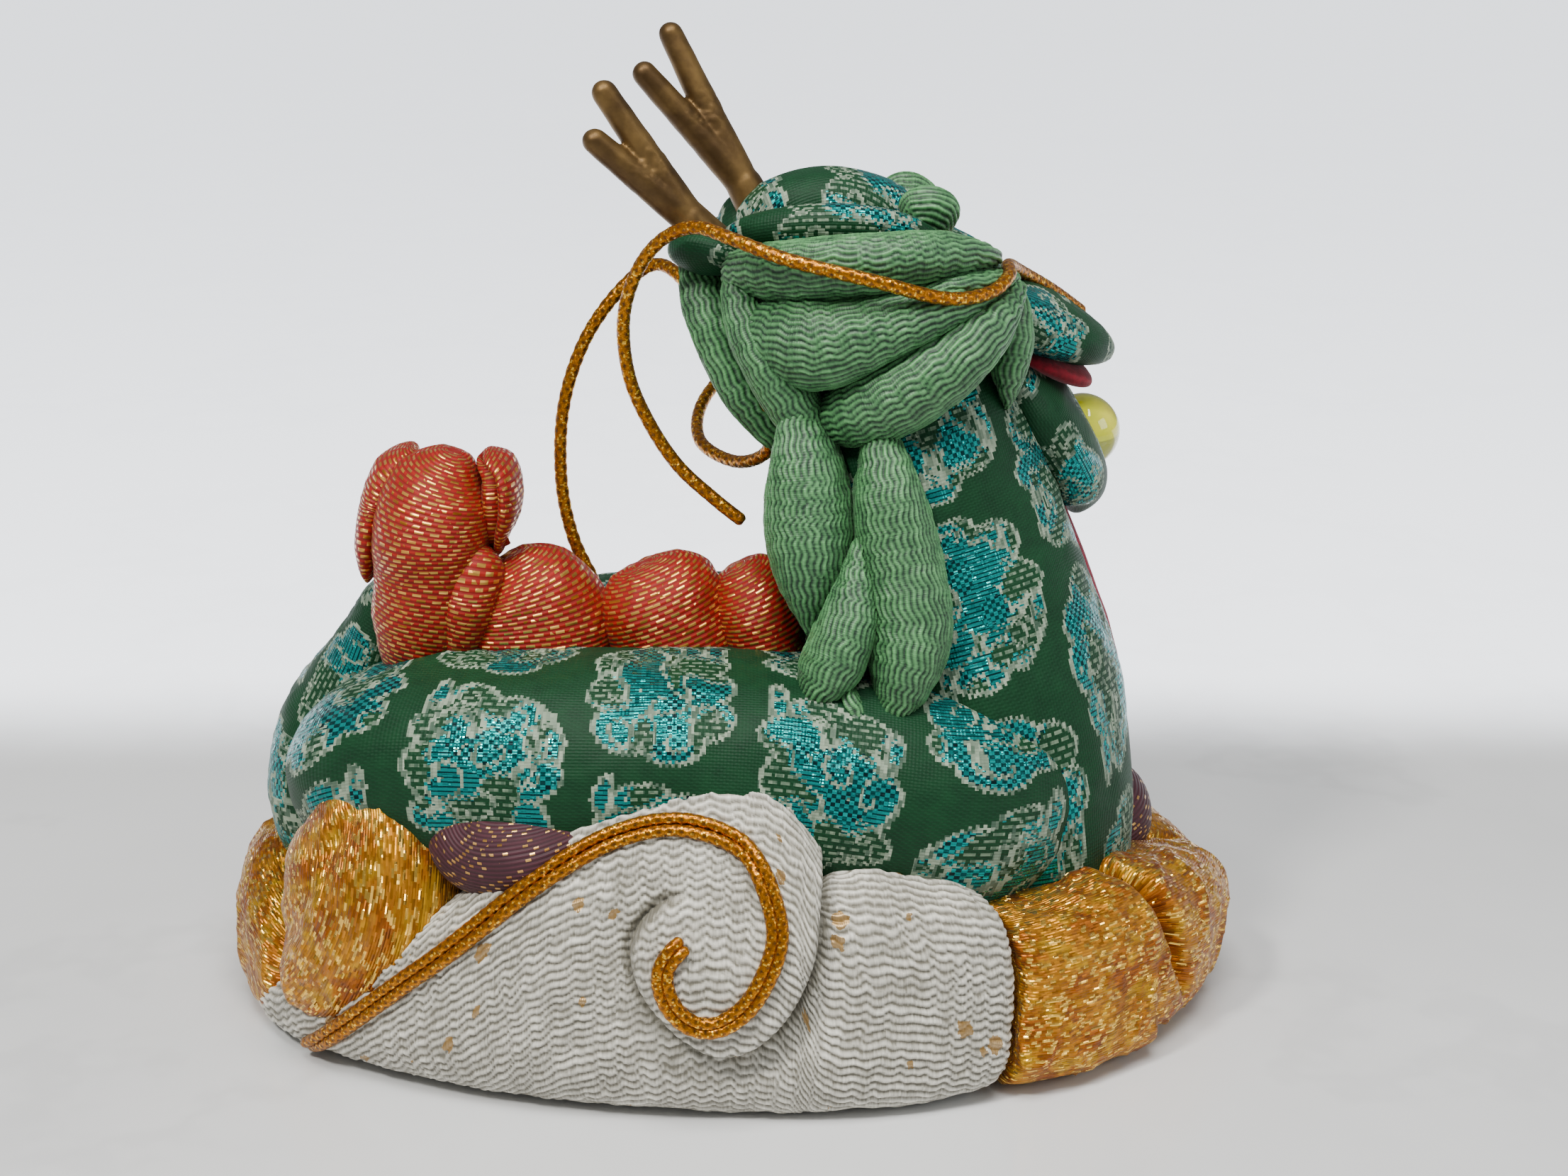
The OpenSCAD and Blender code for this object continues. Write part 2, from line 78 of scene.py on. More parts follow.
# ------------------------------------------------------------------ curves and noise
def curve(P, t):
    P = np.asarray(P, float)
    k = len(P) - 1
    s = np.clip(np.asarray(t, float), 0, 1) * k
    i = np.minimum(s.astype(int), k - 1)
    f = (s - i)[:, None]
    Q = np.vstack([2 * P[0] - P[1], P, 2 * P[-1] - P[-2]])
    a, b, c, d = Q[i], Q[i + 1], Q[i + 2], Q[i + 3]
    return 0.5 * (2 * b + (c - a) * f + (2 * a - 5 * b + 4 * c - d) * f * f + (3 * b - a - 3 * c + d) * f ** 3)

def unit(v):
    return v / np.maximum(np.linalg.norm(v, axis=-1, keepdims=True), 1e-9)

def hash3(i, j, k, seed):
    h = (i.astype(np.int64) * 374761393 + j.astype(np.int64) * 668265263 + k.astype(np.int64) * 2147483647 + seed * 974634541) & 0xFFFFFFFF
    h = ((h ^ (h >> 13)) * 1274126177) & 0xFFFFFFFF
    h = ((h ^ (h >> 16)) * 2246822519) & 0xFFFFFFFF
    return ((h ^ (h >> 15)) & 0xFFFFFF) / float(0xFFFFFF)

def noise(x, y, z=None, seed=0):
    """Smooth noise from -1 to 1."""
    x, y = np.asarray(x, float), np.asarray(y, float)
    z = np.zeros_like(x) if z is None else np.asarray(z, float)
    x, y, z = np.broadcast_arrays(x, y, z)
    i, j, k = np.floor(x), np.floor(y), np.floor(z)
    fx, fy, fz = x - i, y - j, z - k
    fx, fy, fz = [f * f * f * (f * (f * 6 - 15) + 10) for f in (fx, fy, fz)]
    out = 0
    for dx in (0, 1):
        for dy in (0, 1):
            for dz in (0, 1):
                w = (fx if dx else 1 - fx) * (fy if dy else 1 - fy) * (fz if dz else 1 - fz)
                out = out + w * hash3(i + dx, j + dy, k + dz, seed)
    return out * 2 - 1

# ------------------------------------------------------------------ meshes
def mk(name, V, polys, uv=None, attrs=None, smooth=True):
    """polys: list of arrays of faces, each array with one corner count. uv: one array of corner UVs for each. V in mm."""
    me = bpy.data.meshes.new(name)
    V = np.asarray(V, float) * MM
    me.vertices.add(len(V))
    me.vertices.foreach_set("co", V.astype(np.float32).ravel())
    corners = np.concatenate([p.ravel() for p in polys]).astype(np.int32)
    starts, at = [], 0
    for p in polys:
        n, k = p.shape
        starts.append(at + np.arange(n) * k)
        at += n * k
    starts = np.concatenate(starts).astype(np.int32)
    me.loops.add(len(corners))
    me.loops.foreach_set("vertex_index", corners)
    me.polygons.add(len(starts))
    me.polygons.foreach_set("loop_start", starts)
    me.update(calc_edges=True)
    if uv is not None:
        layer = me.uv_layers.new(name="fabric")
        layer.data.foreach_set("uv", np.concatenate([u.reshape(-1, 2) for u in uv]).astype(np.float32).ravel())
    for key, arr in (attrs or {}).items():
        me.attributes.new(key, "FLOAT", "POINT").data.foreach_set("value", np.asarray(arr, np.float32).ravel())
    me.polygons.foreach_set("use_smooth", np.full(len(starts), smooth))
    me.validate()
    ob = bpy.data.objects.new(name, me)
    bpy.context.scene.collection.objects.link(ob)
    return ob

def grid_normals(X):
    dj = np.roll(X, -1, 1) - np.roll(X, 1, 1)
    di = np.gradient(X, axis=0)
    return unit(np.cross(dj, di))

def bow(c, e):
    return np.sign(c) * np.abs(c) ** (2 / e)

# ------------------------------------------------------------------ materials
class E:
    """A number made by math nodes."""
    def __init__(self, t, s):
        self.t, self.s = t, s
    def op(self, kind, *rest, clamp=False):
        n = self.t.nt.nodes.new("ShaderNodeMath")
        n.operation = kind
        n.use_clamp = clamp
        for i, v in enumerate((self,) + rest):
            if isinstance(v, E):
                self.t.nt.links.new(v.s, n.inputs[i])
            else:
                n.inputs[i].default_value = float(v)
        return E(self.t, n.outputs[0])
    def __add__(self, o): return self.op("ADD", o)
    __radd__ = __add__
    def __sub__(self, o): return self.op("SUBTRACT", o)
    def __rsub__(self, o): return (self * -1.0) + o
    def __mul__(self, o): return self.op("MULTIPLY", o)
    __rmul__ = __mul__
    def __truediv__(self, o): return self.op("DIVIDE", o)
    def floor(self): return self.op("FLOOR")
    def fract(self): return self.op("FRACT")
    def sin(self): return self.op("SINE")
    def cos(self): return self.op("COSINE")
    def abs(self): return self.op("ABSOLUTE")
    def sqrt(self): return self.op("SQRT")
    def lt(self, o): return self.op("LESS_THAN", o)
    def gt(self, o): return self.op("GREATER_THAN", o)
    def min(self, o): return self.op("MINIMUM", o)
    def max(self, o): return self.op("MAXIMUM", o)
    def mod(self, o): return self.op("FLOORED_MODULO", o)
    def pow(self, o): return self.op("POWER", o)
    def atan2(self, o): return self.op("ARCTAN2", o)
    def sat(self): return self.op("ADD", 0.0, clamp=True)
    def pick(self, yes, no):
        """yes where this is 1, no where it is 0."""
        yes = yes if isinstance(yes, E) else self * 0.0 + yes
        return no + self * (yes - no)
    def ramp(self, lo, hi):
        n = self.t.nt.nodes.new("ShaderNodeMapRange")
        n.interpolation_type = "SMOOTHSTEP"
        self.t.nt.links.new(self.s, n.inputs["Value"])
        n.inputs["From Min"].default_value = lo
        n.inputs["From Max"].default_value = hi
        return E(self.t, n.outputs[0])


class Mat:
    def __init__(self, name):
        self.mat = bpy.data.materials.new(name)
        self.mat.use_nodes = True
        self.nt = self.mat.node_tree
        self.nt.nodes.clear()
        out = self.nt.nodes.new("ShaderNodeOutputMaterial")
        self.p = self.nt.nodes.new("ShaderNodeBsdfPrincipled")
        self.nt.links.new(self.p.outputs[0], out.inputs[0])
    def uv(self):
        n = self.nt.nodes.new("ShaderNodeUVMap")
        n.uv_map = "fabric"
        s = self.nt.nodes.new("ShaderNodeSeparateXYZ")
        self.nt.links.new(n.outputs[0], s.inputs[0])
        return E(self, s.outputs[0]), E(self, s.outputs[1])
    def obj(self):
        n = self.nt.nodes.new("ShaderNodeTexCoord")
        return n.outputs["Object"]
    def attr(self, name):
        n = self.nt.nodes.new("ShaderNodeAttribute")
        n.attribute_name = name
        return E(self, n.outputs["Fac"])
    def vec(self, x, y, z=0.0):
        n = self.nt.nodes.new("ShaderNodeCombineXYZ")
        for i, v in enumerate((x, y, z)):
            if isinstance(v, E):
                self.nt.links.new(v.s, n.inputs[i])
            else:
                n.inputs[i].default_value = v
        return n.outputs[0]
    def noise(self, v, scale, detail=2.0, rough=0.5):
        n = self.nt.nodes.new("ShaderNodeTexNoise")
        self.nt.links.new(v, n.inputs["Vector"])
        n.inputs["Scale"].default_value = scale
        n.inputs["Detail"].default_value = detail
        n.inputs["Roughness"].default_value = rough
        return E(self, n.outputs[0])
    def white(self, v):
        n = self.nt.nodes.new("ShaderNodeTexWhiteNoise")
        n.noise_dimensions = "3D"
        self.nt.links.new(v, n.inputs["Vector"])
        return E(self, n.outputs["Value"])
    def voronoi(self, v, scale, rand=1.0):
        n = self.nt.nodes.new("ShaderNodeTexVoronoi")
        self.nt.links.new(v, n.inputs["Vector"])
        n.inputs["Scale"].default_value = scale
        n.inputs["Randomness"].default_value = rand
        s = self.nt.nodes.new("ShaderNodeSeparateColor")
        self.nt.links.new(n.outputs["Color"], s.inputs[0])
        return E(self, n.outputs["Distance"]), E(self, s.outputs[0])
    def mix(self, f, a, b):
        n = self.nt.nodes.new("ShaderNodeMix")
        n.data_type = "RGBA"
        for v, sock in ((f, n.inputs[0]), (a, n.inputs[6]), (b, n.inputs[7])):
            if isinstance(v, E):
                self.nt.links.new(v.s, sock)
            elif isinstance(v, (tuple, list)):
                sock.default_value = (*v, 1.0)
            elif isinstance(v, (int, float)):
                sock.default_value = v
            else:
                self.nt.links.new(v, sock)
        return n.outputs[2]
    def shade(self, colour, f):
        """colour times a number."""
        n = self.nt.nodes.new("ShaderNodeVectorMath")
        n.operation = "SCALE"
        self.nt.links.new(colour, n.inputs[0])
        self.nt.links.new(f.s, n.inputs["Scale"])
        return n.outputs[0]
    def glitter(self, cells, amount):
        """The surface normal, tipped a different way in every thread cell."""
        w = self.nt.nodes.new("ShaderNodeTexWhiteNoise")
        w.noise_dimensions = "3D"
        self.nt.links.new(cells, w.inputs["Vector"])
        half = self.nt.nodes.new("ShaderNodeVectorMath")
        half.operation = "SUBTRACT"
        self.nt.links.new(w.outputs["Color"], half.inputs[0])
        half.inputs[1].default_value = (0.5, 0.5, 0.5)
        size = self.nt.nodes.new("ShaderNodeVectorMath")
        size.operation = "SCALE"
        self.nt.links.new(half.outputs[0], size.inputs[0])
        self.nt.links.new(amount.s, size.inputs["Scale"])
        geo = self.nt.nodes.new("ShaderNodeNewGeometry")
        add = self.nt.nodes.new("ShaderNodeVectorMath")
        self.nt.links.new(geo.outputs["Normal"], add.inputs[0])
        self.nt.links.new(size.outputs[0], add.inputs[1])
        n = self.nt.nodes.new("ShaderNodeVectorMath")
        n.operation = "NORMALIZE"
        self.nt.links.new(add.outputs[0], n.inputs[0])
        return n.outputs[0]
    def bump(self, h, dist, strength=1.0, normal=None):
        n = self.nt.nodes.new("ShaderNodeBump")
        n.inputs["Strength"].default_value = strength
        n.inputs["Distance"].default_value = dist * MM
        self.nt.links.new(h.s, n.inputs["Height"])
        if normal is not None:
            self.nt.links.new(normal, n.inputs["Normal"])
        self.nt.links.new(n.outputs[0], self.p.inputs["Normal"])
    def set(self, **kw):
        names = dict(color="Base Color", metal="Metallic", rough="Roughness", sheen="Sheen Weight", sheen_rough="Sheen Roughness", sheen_tint="Sheen Tint",
                     spec="Specular IOR Level", coat="Coat Weight", coat_rough="Coat Roughness", trans="Transmission Weight", ior="IOR", aniso="Anisotropic", sss="Subsurface Weight")
        for k, v in kw.items():
            sock = self.p.inputs[names[k]]
            if isinstance(v, E):
                self.nt.links.new(v.s, sock)
            elif isinstance(v, bpy.types.NodeSocket):
                self.nt.links.new(v, sock)
            elif isinstance(v, (tuple, list)):
                sock.default_value = (*v, 1.0)
            else:
                sock.default_value = v


def lin(r, g, b):
    return tuple(((c / 255) / 12.92) if c / 255 <= 0.04045 else (((c / 255) + 0.055) / 1.055) ** 2.4 for c in (r, g, b))


def brocade(name="brocade", tile=(20.0, 26.5), shift=(0.0, 0.0), turn=False):
    """Green satin with woven clouds: lobed outlines in pale thread, scrolls inside, filled with glittering turquoise or rows of grey dashes."""
    m = Mat(name)
    u, v = m.uv()
    if turn:
        u, v = v, u
    u, v = u + (200 + shift[0]), v + (200 + shift[1])
    # The pattern steps from thread to thread.
    g, gv = 0.36, 0.22
    iu, iv = (u / g).floor(), (v / gv).floor()
    jag = m.white(m.vec(iu, (iv / 4.0).floor())) - 0.5
    su, sv = (iu + 0.5) * g, (iv + 0.5) * gv + (iu.mod(2.0) - 0.5) * 0.34 + jag * 0.16
    warp = m.noise(m.vec(su, sv), 0.11, 1.0)
    su2, sv2 = su + (warp - 0.5) * 4.0, sv + (m.noise(m.vec(sv, su), 0.10, 1.0) - 0.5) * 4.0
    col = (su2 / tile[0]).floor()
    drop = sv2 + col.mod(2.0) * (tile[1] / 2)
    row = (drop / tile[1]).floor()
    x = ((su2 / tile[0]).fract() - 0.5) * tile[0]
    y = ((drop / tile[1]).fract() - 0.5) * tile[1]
    flip = (m.white(m.vec(col, row, 3.0)).gt(0.5)) * 2.0 - 1.0
    x = x * flip
    lobes = [(-4.4, 7.4, 3.6, 3.0), (1.0, 9.2, 3.7, 2.9), (5.4, 6.0, 3.0, 2.8), (-0.2, 4.0, 4.0, 3.2), (-5.8, 1.6, 3.2, 3.0), (4.6, 0.6, 3.9, 3.2),
             (-1.4, -1.8, 4.0, 3.2), (4.6, -4.8, 3.2, 2.8), (-3.2, -6.8, 3.6, 2.9), (1.8, -9.2, 3.2, 2.2), (-7.4, -3.8, 1.2, 3.2), (6.2, -9.8, 1.1, 3.0)]
    best = second = bx = by = bk = None
    for k, (cx, cy, rx, ry) in enumerate(lobes):
        dx, dy = x - cx, y - cy
        rx, ry = rx * 1.13, ry * 1.13
        r = min(rx, ry)
        d = ((dx * (1 / rx)).pow(2.0) + (dy * (1 / ry)).pow(2.0)).sqrt() * r - r
        if best is None:
            best, second, bx, by, bk = d, d * 0.0 + 9.0, dx, dy, dx * 0.0
        else:
            near = d.lt(best)
            bx, by, bk = near.pick(dx, bx), near.pick(dy, by), near.pick(float(k), bk)
            second = second.min(d.max(best))
            best = best.min(d)
    inside = best.lt(-0.15)
    line = (best + 0.24).abs().lt(0.27)
    rho = (bx * bx + by * by).sqrt()
    turnv = by.atan2(bx) * (1 / (2 * math.pi)) + rho * 0.36 + bk * 0.37
    pick2 = m.white(m.vec(bk + 20.0, col, row))
    curl = turnv.fract().lt(0.19) * rho.lt(2.7) * rho.gt(0.3) * inside * pick2.lt(0.62)
    reg = m.noise(m.vec(su * 0.15 + col * 7.3, sv * 0.12 + row * 5.1), 1.0, 1.0)
    seam = (reg - 0.52).abs().lt(0.014) * inside
    teal = inside * reg.lt(0.55)
    gv2 = v / 0.95
    grey = inside * reg.gt(0.55) * (gv2.fract().lt(0.44)) * ((u / 1.6 + gv2.floor() * 0.5).fract().lt(0.72))
    pale = (line + curl + seam).min(1.0)
    bands = m.noise(m.vec(su * 0.10 + 40.0, sv * 0.10), 1.0, 1.0).gt(0.5)
    # ground
    twill = ((iu + iv).mod(3.0)).lt(0.5)
    fine = m.noise(m.vec(u, v), 0.5, 3.0)
    ground = m.mix(fine, lin(4, 36, 18), lin(12, 62, 32))
    ground = m.mix(twill * 0.30, ground, lin(24, 68, 42))
    iu2, iv2 = (u / 0.55).floor(), (v / 0.55).floor()
    cell = m.white(m.vec(iu2, iv2, 1.0))
    chk = (iu2 + iv2).mod(2.0)
    wide = m.noise(m.vec(u * 0.12, v * 0.12), 1.0, 1.0)
    rib = ((v / 0.62).fract()).lt(0.68)
    tealc = m.mix(bands.pick(rib * 0.6 + cell * 0.2, chk * 0.7 + cell * 0.3), lin(0, 24, 28), lin(0, 150, 146))
    thread = m.white(m.vec((u / 0.42).floor(), (v / 1.1 + (u / 0.42).floor() * 0.37).floor(), 5.0))
    palec = m.mix(thread, lin(58, 82, 66), lin(150, 164, 142))
    greyc = m.mix(thread, lin(54, 80, 62), lin(116, 136, 112))
    c = m.mix(teal, ground, tealc)
    c = m.mix(grey, c, greyc)
    c = m.mix(pale, c, palec)
    c = m.shade(c, 0.80 + wide * 0.4)
    foil = teal * (1.0 - pale) * (0.55 + cell * 0.45)
    m.set(color=c, metal=foil * 0.85, rough=0.55 - foil * (0.22 + cell * 0.18), sheen=0.02, sheen_rough=0.4, spec=0.18)
    weave = ((u / 0.42).fract() - 0.5).abs() + ((v / 0.42).fract() - 0.5).abs()
    m.bump(pale * 0.9 + teal * chk * 0.8 + weave * 0.5 + thread * pale * 0.8, 0.12, 1.0, m.glitter(m.vec(iu2, iv2, 3.0), foil * 0.55))
    return m.mat


def crepe(name, dark, light, shine, flecks=False):
    """Silk crepe: the ridges are real, and this adds the threads across them, the silky highlights and the shade between them."""
    m = Mat(name)
    u, v = m.uv()
    ridge = m.attr("ridge")
    th = m.white(m.vec((u / 0.28).floor(), (v / 0.9).floor(), 2.0))
    fib = m.noise(m.vec(u * 3.2, v * 0.8), 1.0, 3.0)
    big = m.noise(m.vec(u, v), 0.12, 2.0)
    # painted highlight on the ridge crests and painted shade in the valleys: the ridge height lightens the colour,
    # mixed with the real fibre and thread tone
    painted_light_and_tone = (ridge.pow(1.2) * 0.95 + (fib - 0.5) * 0.5 + (big - 0.5) * 0.30 + (th - 0.5) * 0.25 - 0.06).sat()
    c = m.mix(painted_light_and_tone, dark, light)
    rough = 0.58 - ridge * 0.20
    metal = ridge * 0.0
    if flecks:
        px, py = u * 0.19 + (m.noise(m.vec(u, v), 1.1, 3.0) - 0.5) * 0.34, v * 0.17 + (m.noise(m.vec(v, u), 1.2, 3.0) - 0.5) * 0.30
        d, pick = m.voronoi(m.vec(px, py), 1.0, 1.0)
        speck = d.lt(0.13 + (pick - 0.5) * 0.22) * pick.gt(0.30)
        leaf = m.mix(fib, lin(120, 86, 30), lin(178, 138, 66))
        c = m.mix(speck * 0.85, c, leaf)
        metal = speck * 0.45
        rough = rough - speck * 0.15
    m.set(color=c, rough=rough, metal=metal, sheen=0.12, sheen_rough=0.35, spec=shine)
    cross = ((u / 0.28).fract() - 0.5).abs()
    m.bump(cross * 0.6 + fib * 0.5 + th * 0.25, 0.07, 0.8)
    return m.mat


def lame_gold(name="gold_lame"):
    m = Mat(name)
    u, v = m.uv()
    patch = m.noise(m.vec(u, v), 0.17, 2.0)
    patch2 = m.noise(m.vec(v + 40.0, u), 0.30, 3.0)
    iu = (u / 0.38).floor()
    a = m.white(m.vec(iu, (v / 0.8 + iu * 0.41).floor(), 7.0))
    b = m.white(m.vec(iu + 9.0, (v / 0.8 + iu * 0.73).floor(), 9.0))
    base = m.mix(patch.ramp(0.36, 0.64), lin(168, 90, 8), lin(202, 134, 16))
    base = m.mix(patch2.ramp(0.50, 0.66) * 0.75, base, lin(214, 164, 10))
    c = m.mix((1.0 - a) * 0.6, base, lin(70, 34, 3))
    glint = b.gt(0.74)
    # painted glints: pale gold colour in random thread cells, which are also smoother and more metallic
    c = m.mix(glint * 0.75, c, lin(255, 206, 90))
    m.set(color=c, metal=0.75 + glint * 0.2, rough=0.40 - glint * 0.18, sheen=0.05, sheen_rough=0.5, spec=0.5)
    col = ((u / 0.38).fract() - 0.5).abs()
    m.bump((0.5 - col) * 1.0 + a * 0.5, 0.12, 1.0, m.glitter(m.vec(iu, (v / 0.8 + iu * 0.41).floor(), 2.0), 0.55 + glint * 0.45))
    return m.mat


def lame_dash(name, ground, ground2, foil, foil2, row, dash, cover, blocks, keep=1.0):
    """Cloth with a gold dash on every weft row. Each block steps the dashes the other way, so the twill changes its slant."""
    m = Mat(name)
    u, v = m.uv()
    u, v = u + 200.0, v + 200.0
    a, b = ((u + v) / blocks).floor(), ((u - v) / (blocks * 1.3)).floor()
    way = (a + b).mod(2.0) * 2.0 - 1.0
    r = (v / row).floor()
    x = u / dash + r * (way * 0.31)
    on = x.fract().lt(cover)
    cellr = m.white(m.vec(x.floor(), r, 4.0))
    on = on * cellr.lt(keep)
    body = ((v / row).fract() - 0.5).abs().lt(0.27)
    on = on * body
    n = m.noise(m.vec(u, v), 0.3, 2.0)
    g = m.mix(n, ground, ground2)
    # painted shade in the gaps between the weft rows: a darker copy of the ground colour
    g = m.mix((1.0 - body) * 0.45, g, tuple(c * 0.35 for c in ground))
    f = m.mix(cellr, foil, foil2)
    m.set(color=m.mix(on, g, f), metal=on * 0.8, rough=0.58 - on * (0.22 + cellr * 0.08), sheen=0.04, sheen_rough=0.4, spec=0.3)
    arch = 0.5 - ((v / row).fract() - 0.5).abs()
    m.bump(arch * 1.2 + on * 0.5, 0.16, 1.0, m.glitter(m.vec(x.floor(), r, 6.0), on * 0.5))
    return m.mat


def bronze():
    m = Mat("bronze")
    o = m.obj()
    n = m.noise(o, 160.0, 4.0, 0.6)
    n2 = m.noise(o, 900.0, 2.0)
    c = m.mix(n.ramp(0.3, 0.75), lin(74, 54, 28), lin(118, 92, 50))
    m.set(color=c, metal=0.72, rough=0.36 + n * 0.18 + n2 * 0.06, spec=0.5)
    m.bump(n2 * 0.5 + n * 0.5, 0.06, 0.6)
    return m.mat


def cord_mat():
    m = Mat("gold_cord")
    u, v = m.uv()
    ridge = m.attr("ridge")
    fib = m.white(m.vec((u / 0.16).floor(), (v / 0.16).floor(), 1.0))
    long = m.noise(m.vec(u, v), 0.15, 2.0)
    cu, cv = (u / 0.22).floor(), (v / 0.30).floor()
    glint = m.white(m.vec(cu, cv, 8.0)).gt(0.90)
    # painted shade in the grooves between the strands and painted highlight on their crests: the braid's ridge height
    # lightens the colour, with real fibre tone
    c = m.mix((ridge.pow(1.5) * 0.8 + fib * 0.25).sat(), lin(34, 17, 1), lin(192, 120, 16))
    c = m.mix(long.ramp(0.5, 0.8) * 0.35, c, lin(160, 84, 14))
    # painted glints: pale gold colour in random cells on the strand crests
    c = m.mix(glint * ridge, c, lin(255, 202, 70))
    m.set(color=c, metal=0.55 + ridge * 0.4, rough=0.42 - fib * 0.16, sheen=0.02, spec=0.5)
    m.bump(fib, 0.05, 0.8, m.glitter(m.vec(cu, cv, 2.0), ridge * 0.35))
    return m.mat


def plain_fibre(name, a, b, scale=900.0, rough=0.85, sheen=0.5, dist=0.12):
    m = Mat(name)
    o = m.obj()
    n = m.noise(o, scale, 5.0, 0.7)
    n2 = m.noise(o, scale * 0.15, 2.0)
    m.set(color=m.mix((n * 0.7 + n2 * 0.3).ramp(0.3, 0.7), a, b), rough=rough - n2 * 0.12, sheen=sheen, sheen_rough=0.5, spec=0.25)
    m.bump(n, dist, 1.0)
    return m.mat


def glass_mat():
    m = Mat("yellow_glass")
    o = m.obj()
    n = m.noise(o, 260.0, 2.0)
    c = m.mix(n.ramp(0.35, 0.7), lin(206, 212, 24), lin(236, 226, 70))
    m.set(color=c, rough=0.03 + n * 0.03, trans=0.55, ior=1.5, coat=0.6, coat_rough=0.02, spec=0.6)
    return m.mat


M_BROCADE = brocade("brocade")
M_BROCADE_NECK = brocade("brocade_neck", shift=(7.0, 9.0))
M_BROCADE_SMALL = brocade("brocade_small", tile=(22.0, 27.0), shift=(3.0, 5.0))
M_GREEN = crepe("green_crepe", lin(8, 46, 23), lin(98, 162, 100), 0.5)
M_WHITE = crepe("white_crepe", lin(112, 108, 94), lin(242, 238, 224), 0.6, flecks=True)
M_GOLD = lame_gold()
M_PURPLE = lame_dash("purple_lame", lin(50, 22, 30), lin(82, 40, 50), lin(170, 120, 60), lin(228, 184, 110), 0.62, 1.6, 0.34, 9.0, keep=0.6)
M_FIRE = lame_dash("fire_lame", lin(128, 9, 3), lin(166, 24, 5), lin(168, 106, 34), lin(232, 178, 88), 0.70, 2.1, 0.58, 7.5)
M_BELLY = plain_fibre("belly_silk", lin(96, 8, 30), lin(140, 24, 50), scale=700.0, sheen=0.1)
M_FELT = plain_fibre("crimson_felt", lin(84, 2, 16), lin(140, 10, 34), sheen=0.12)
M_PASTE = plain_fibre("core_paste", lin(150, 128, 96), lin(186, 166, 132), scale=400.0, sheen=0.0)
M_PAPER = plain_fibre("underside_paper", lin(128, 118, 98), lin(160, 150, 128), scale=500.0, sheen=0.1)
M_BRONZE = bronze()
M_CORD = cord_mat()
M_GLASS = glass_mat()


def eye_mat():
    """A glossy eye of plain design: a dark pupil, an amber ring and an ivory white."""
    m = Mat("eye_gloss")
    r = m.attr("ridge")
    n = m.noise(m.obj(), 900.0, 3.0)
    c = m.mix(r.ramp(0.105, 0.120), lin(14, 10, 8), lin(190, 120, 30))
    c = m.mix(r.ramp(0.20, 0.215), c, lin(26, 20, 16))
    c = m.mix(r.ramp(0.225, 0.24), c, lin(236, 228, 204))
    m.set(color=m.shade(c, 0.92 + n * 0.16), rough=0.08 + n * 0.06, coat=0.5, spec=0.5)
    return m.mat


M_EYE = eye_mat()
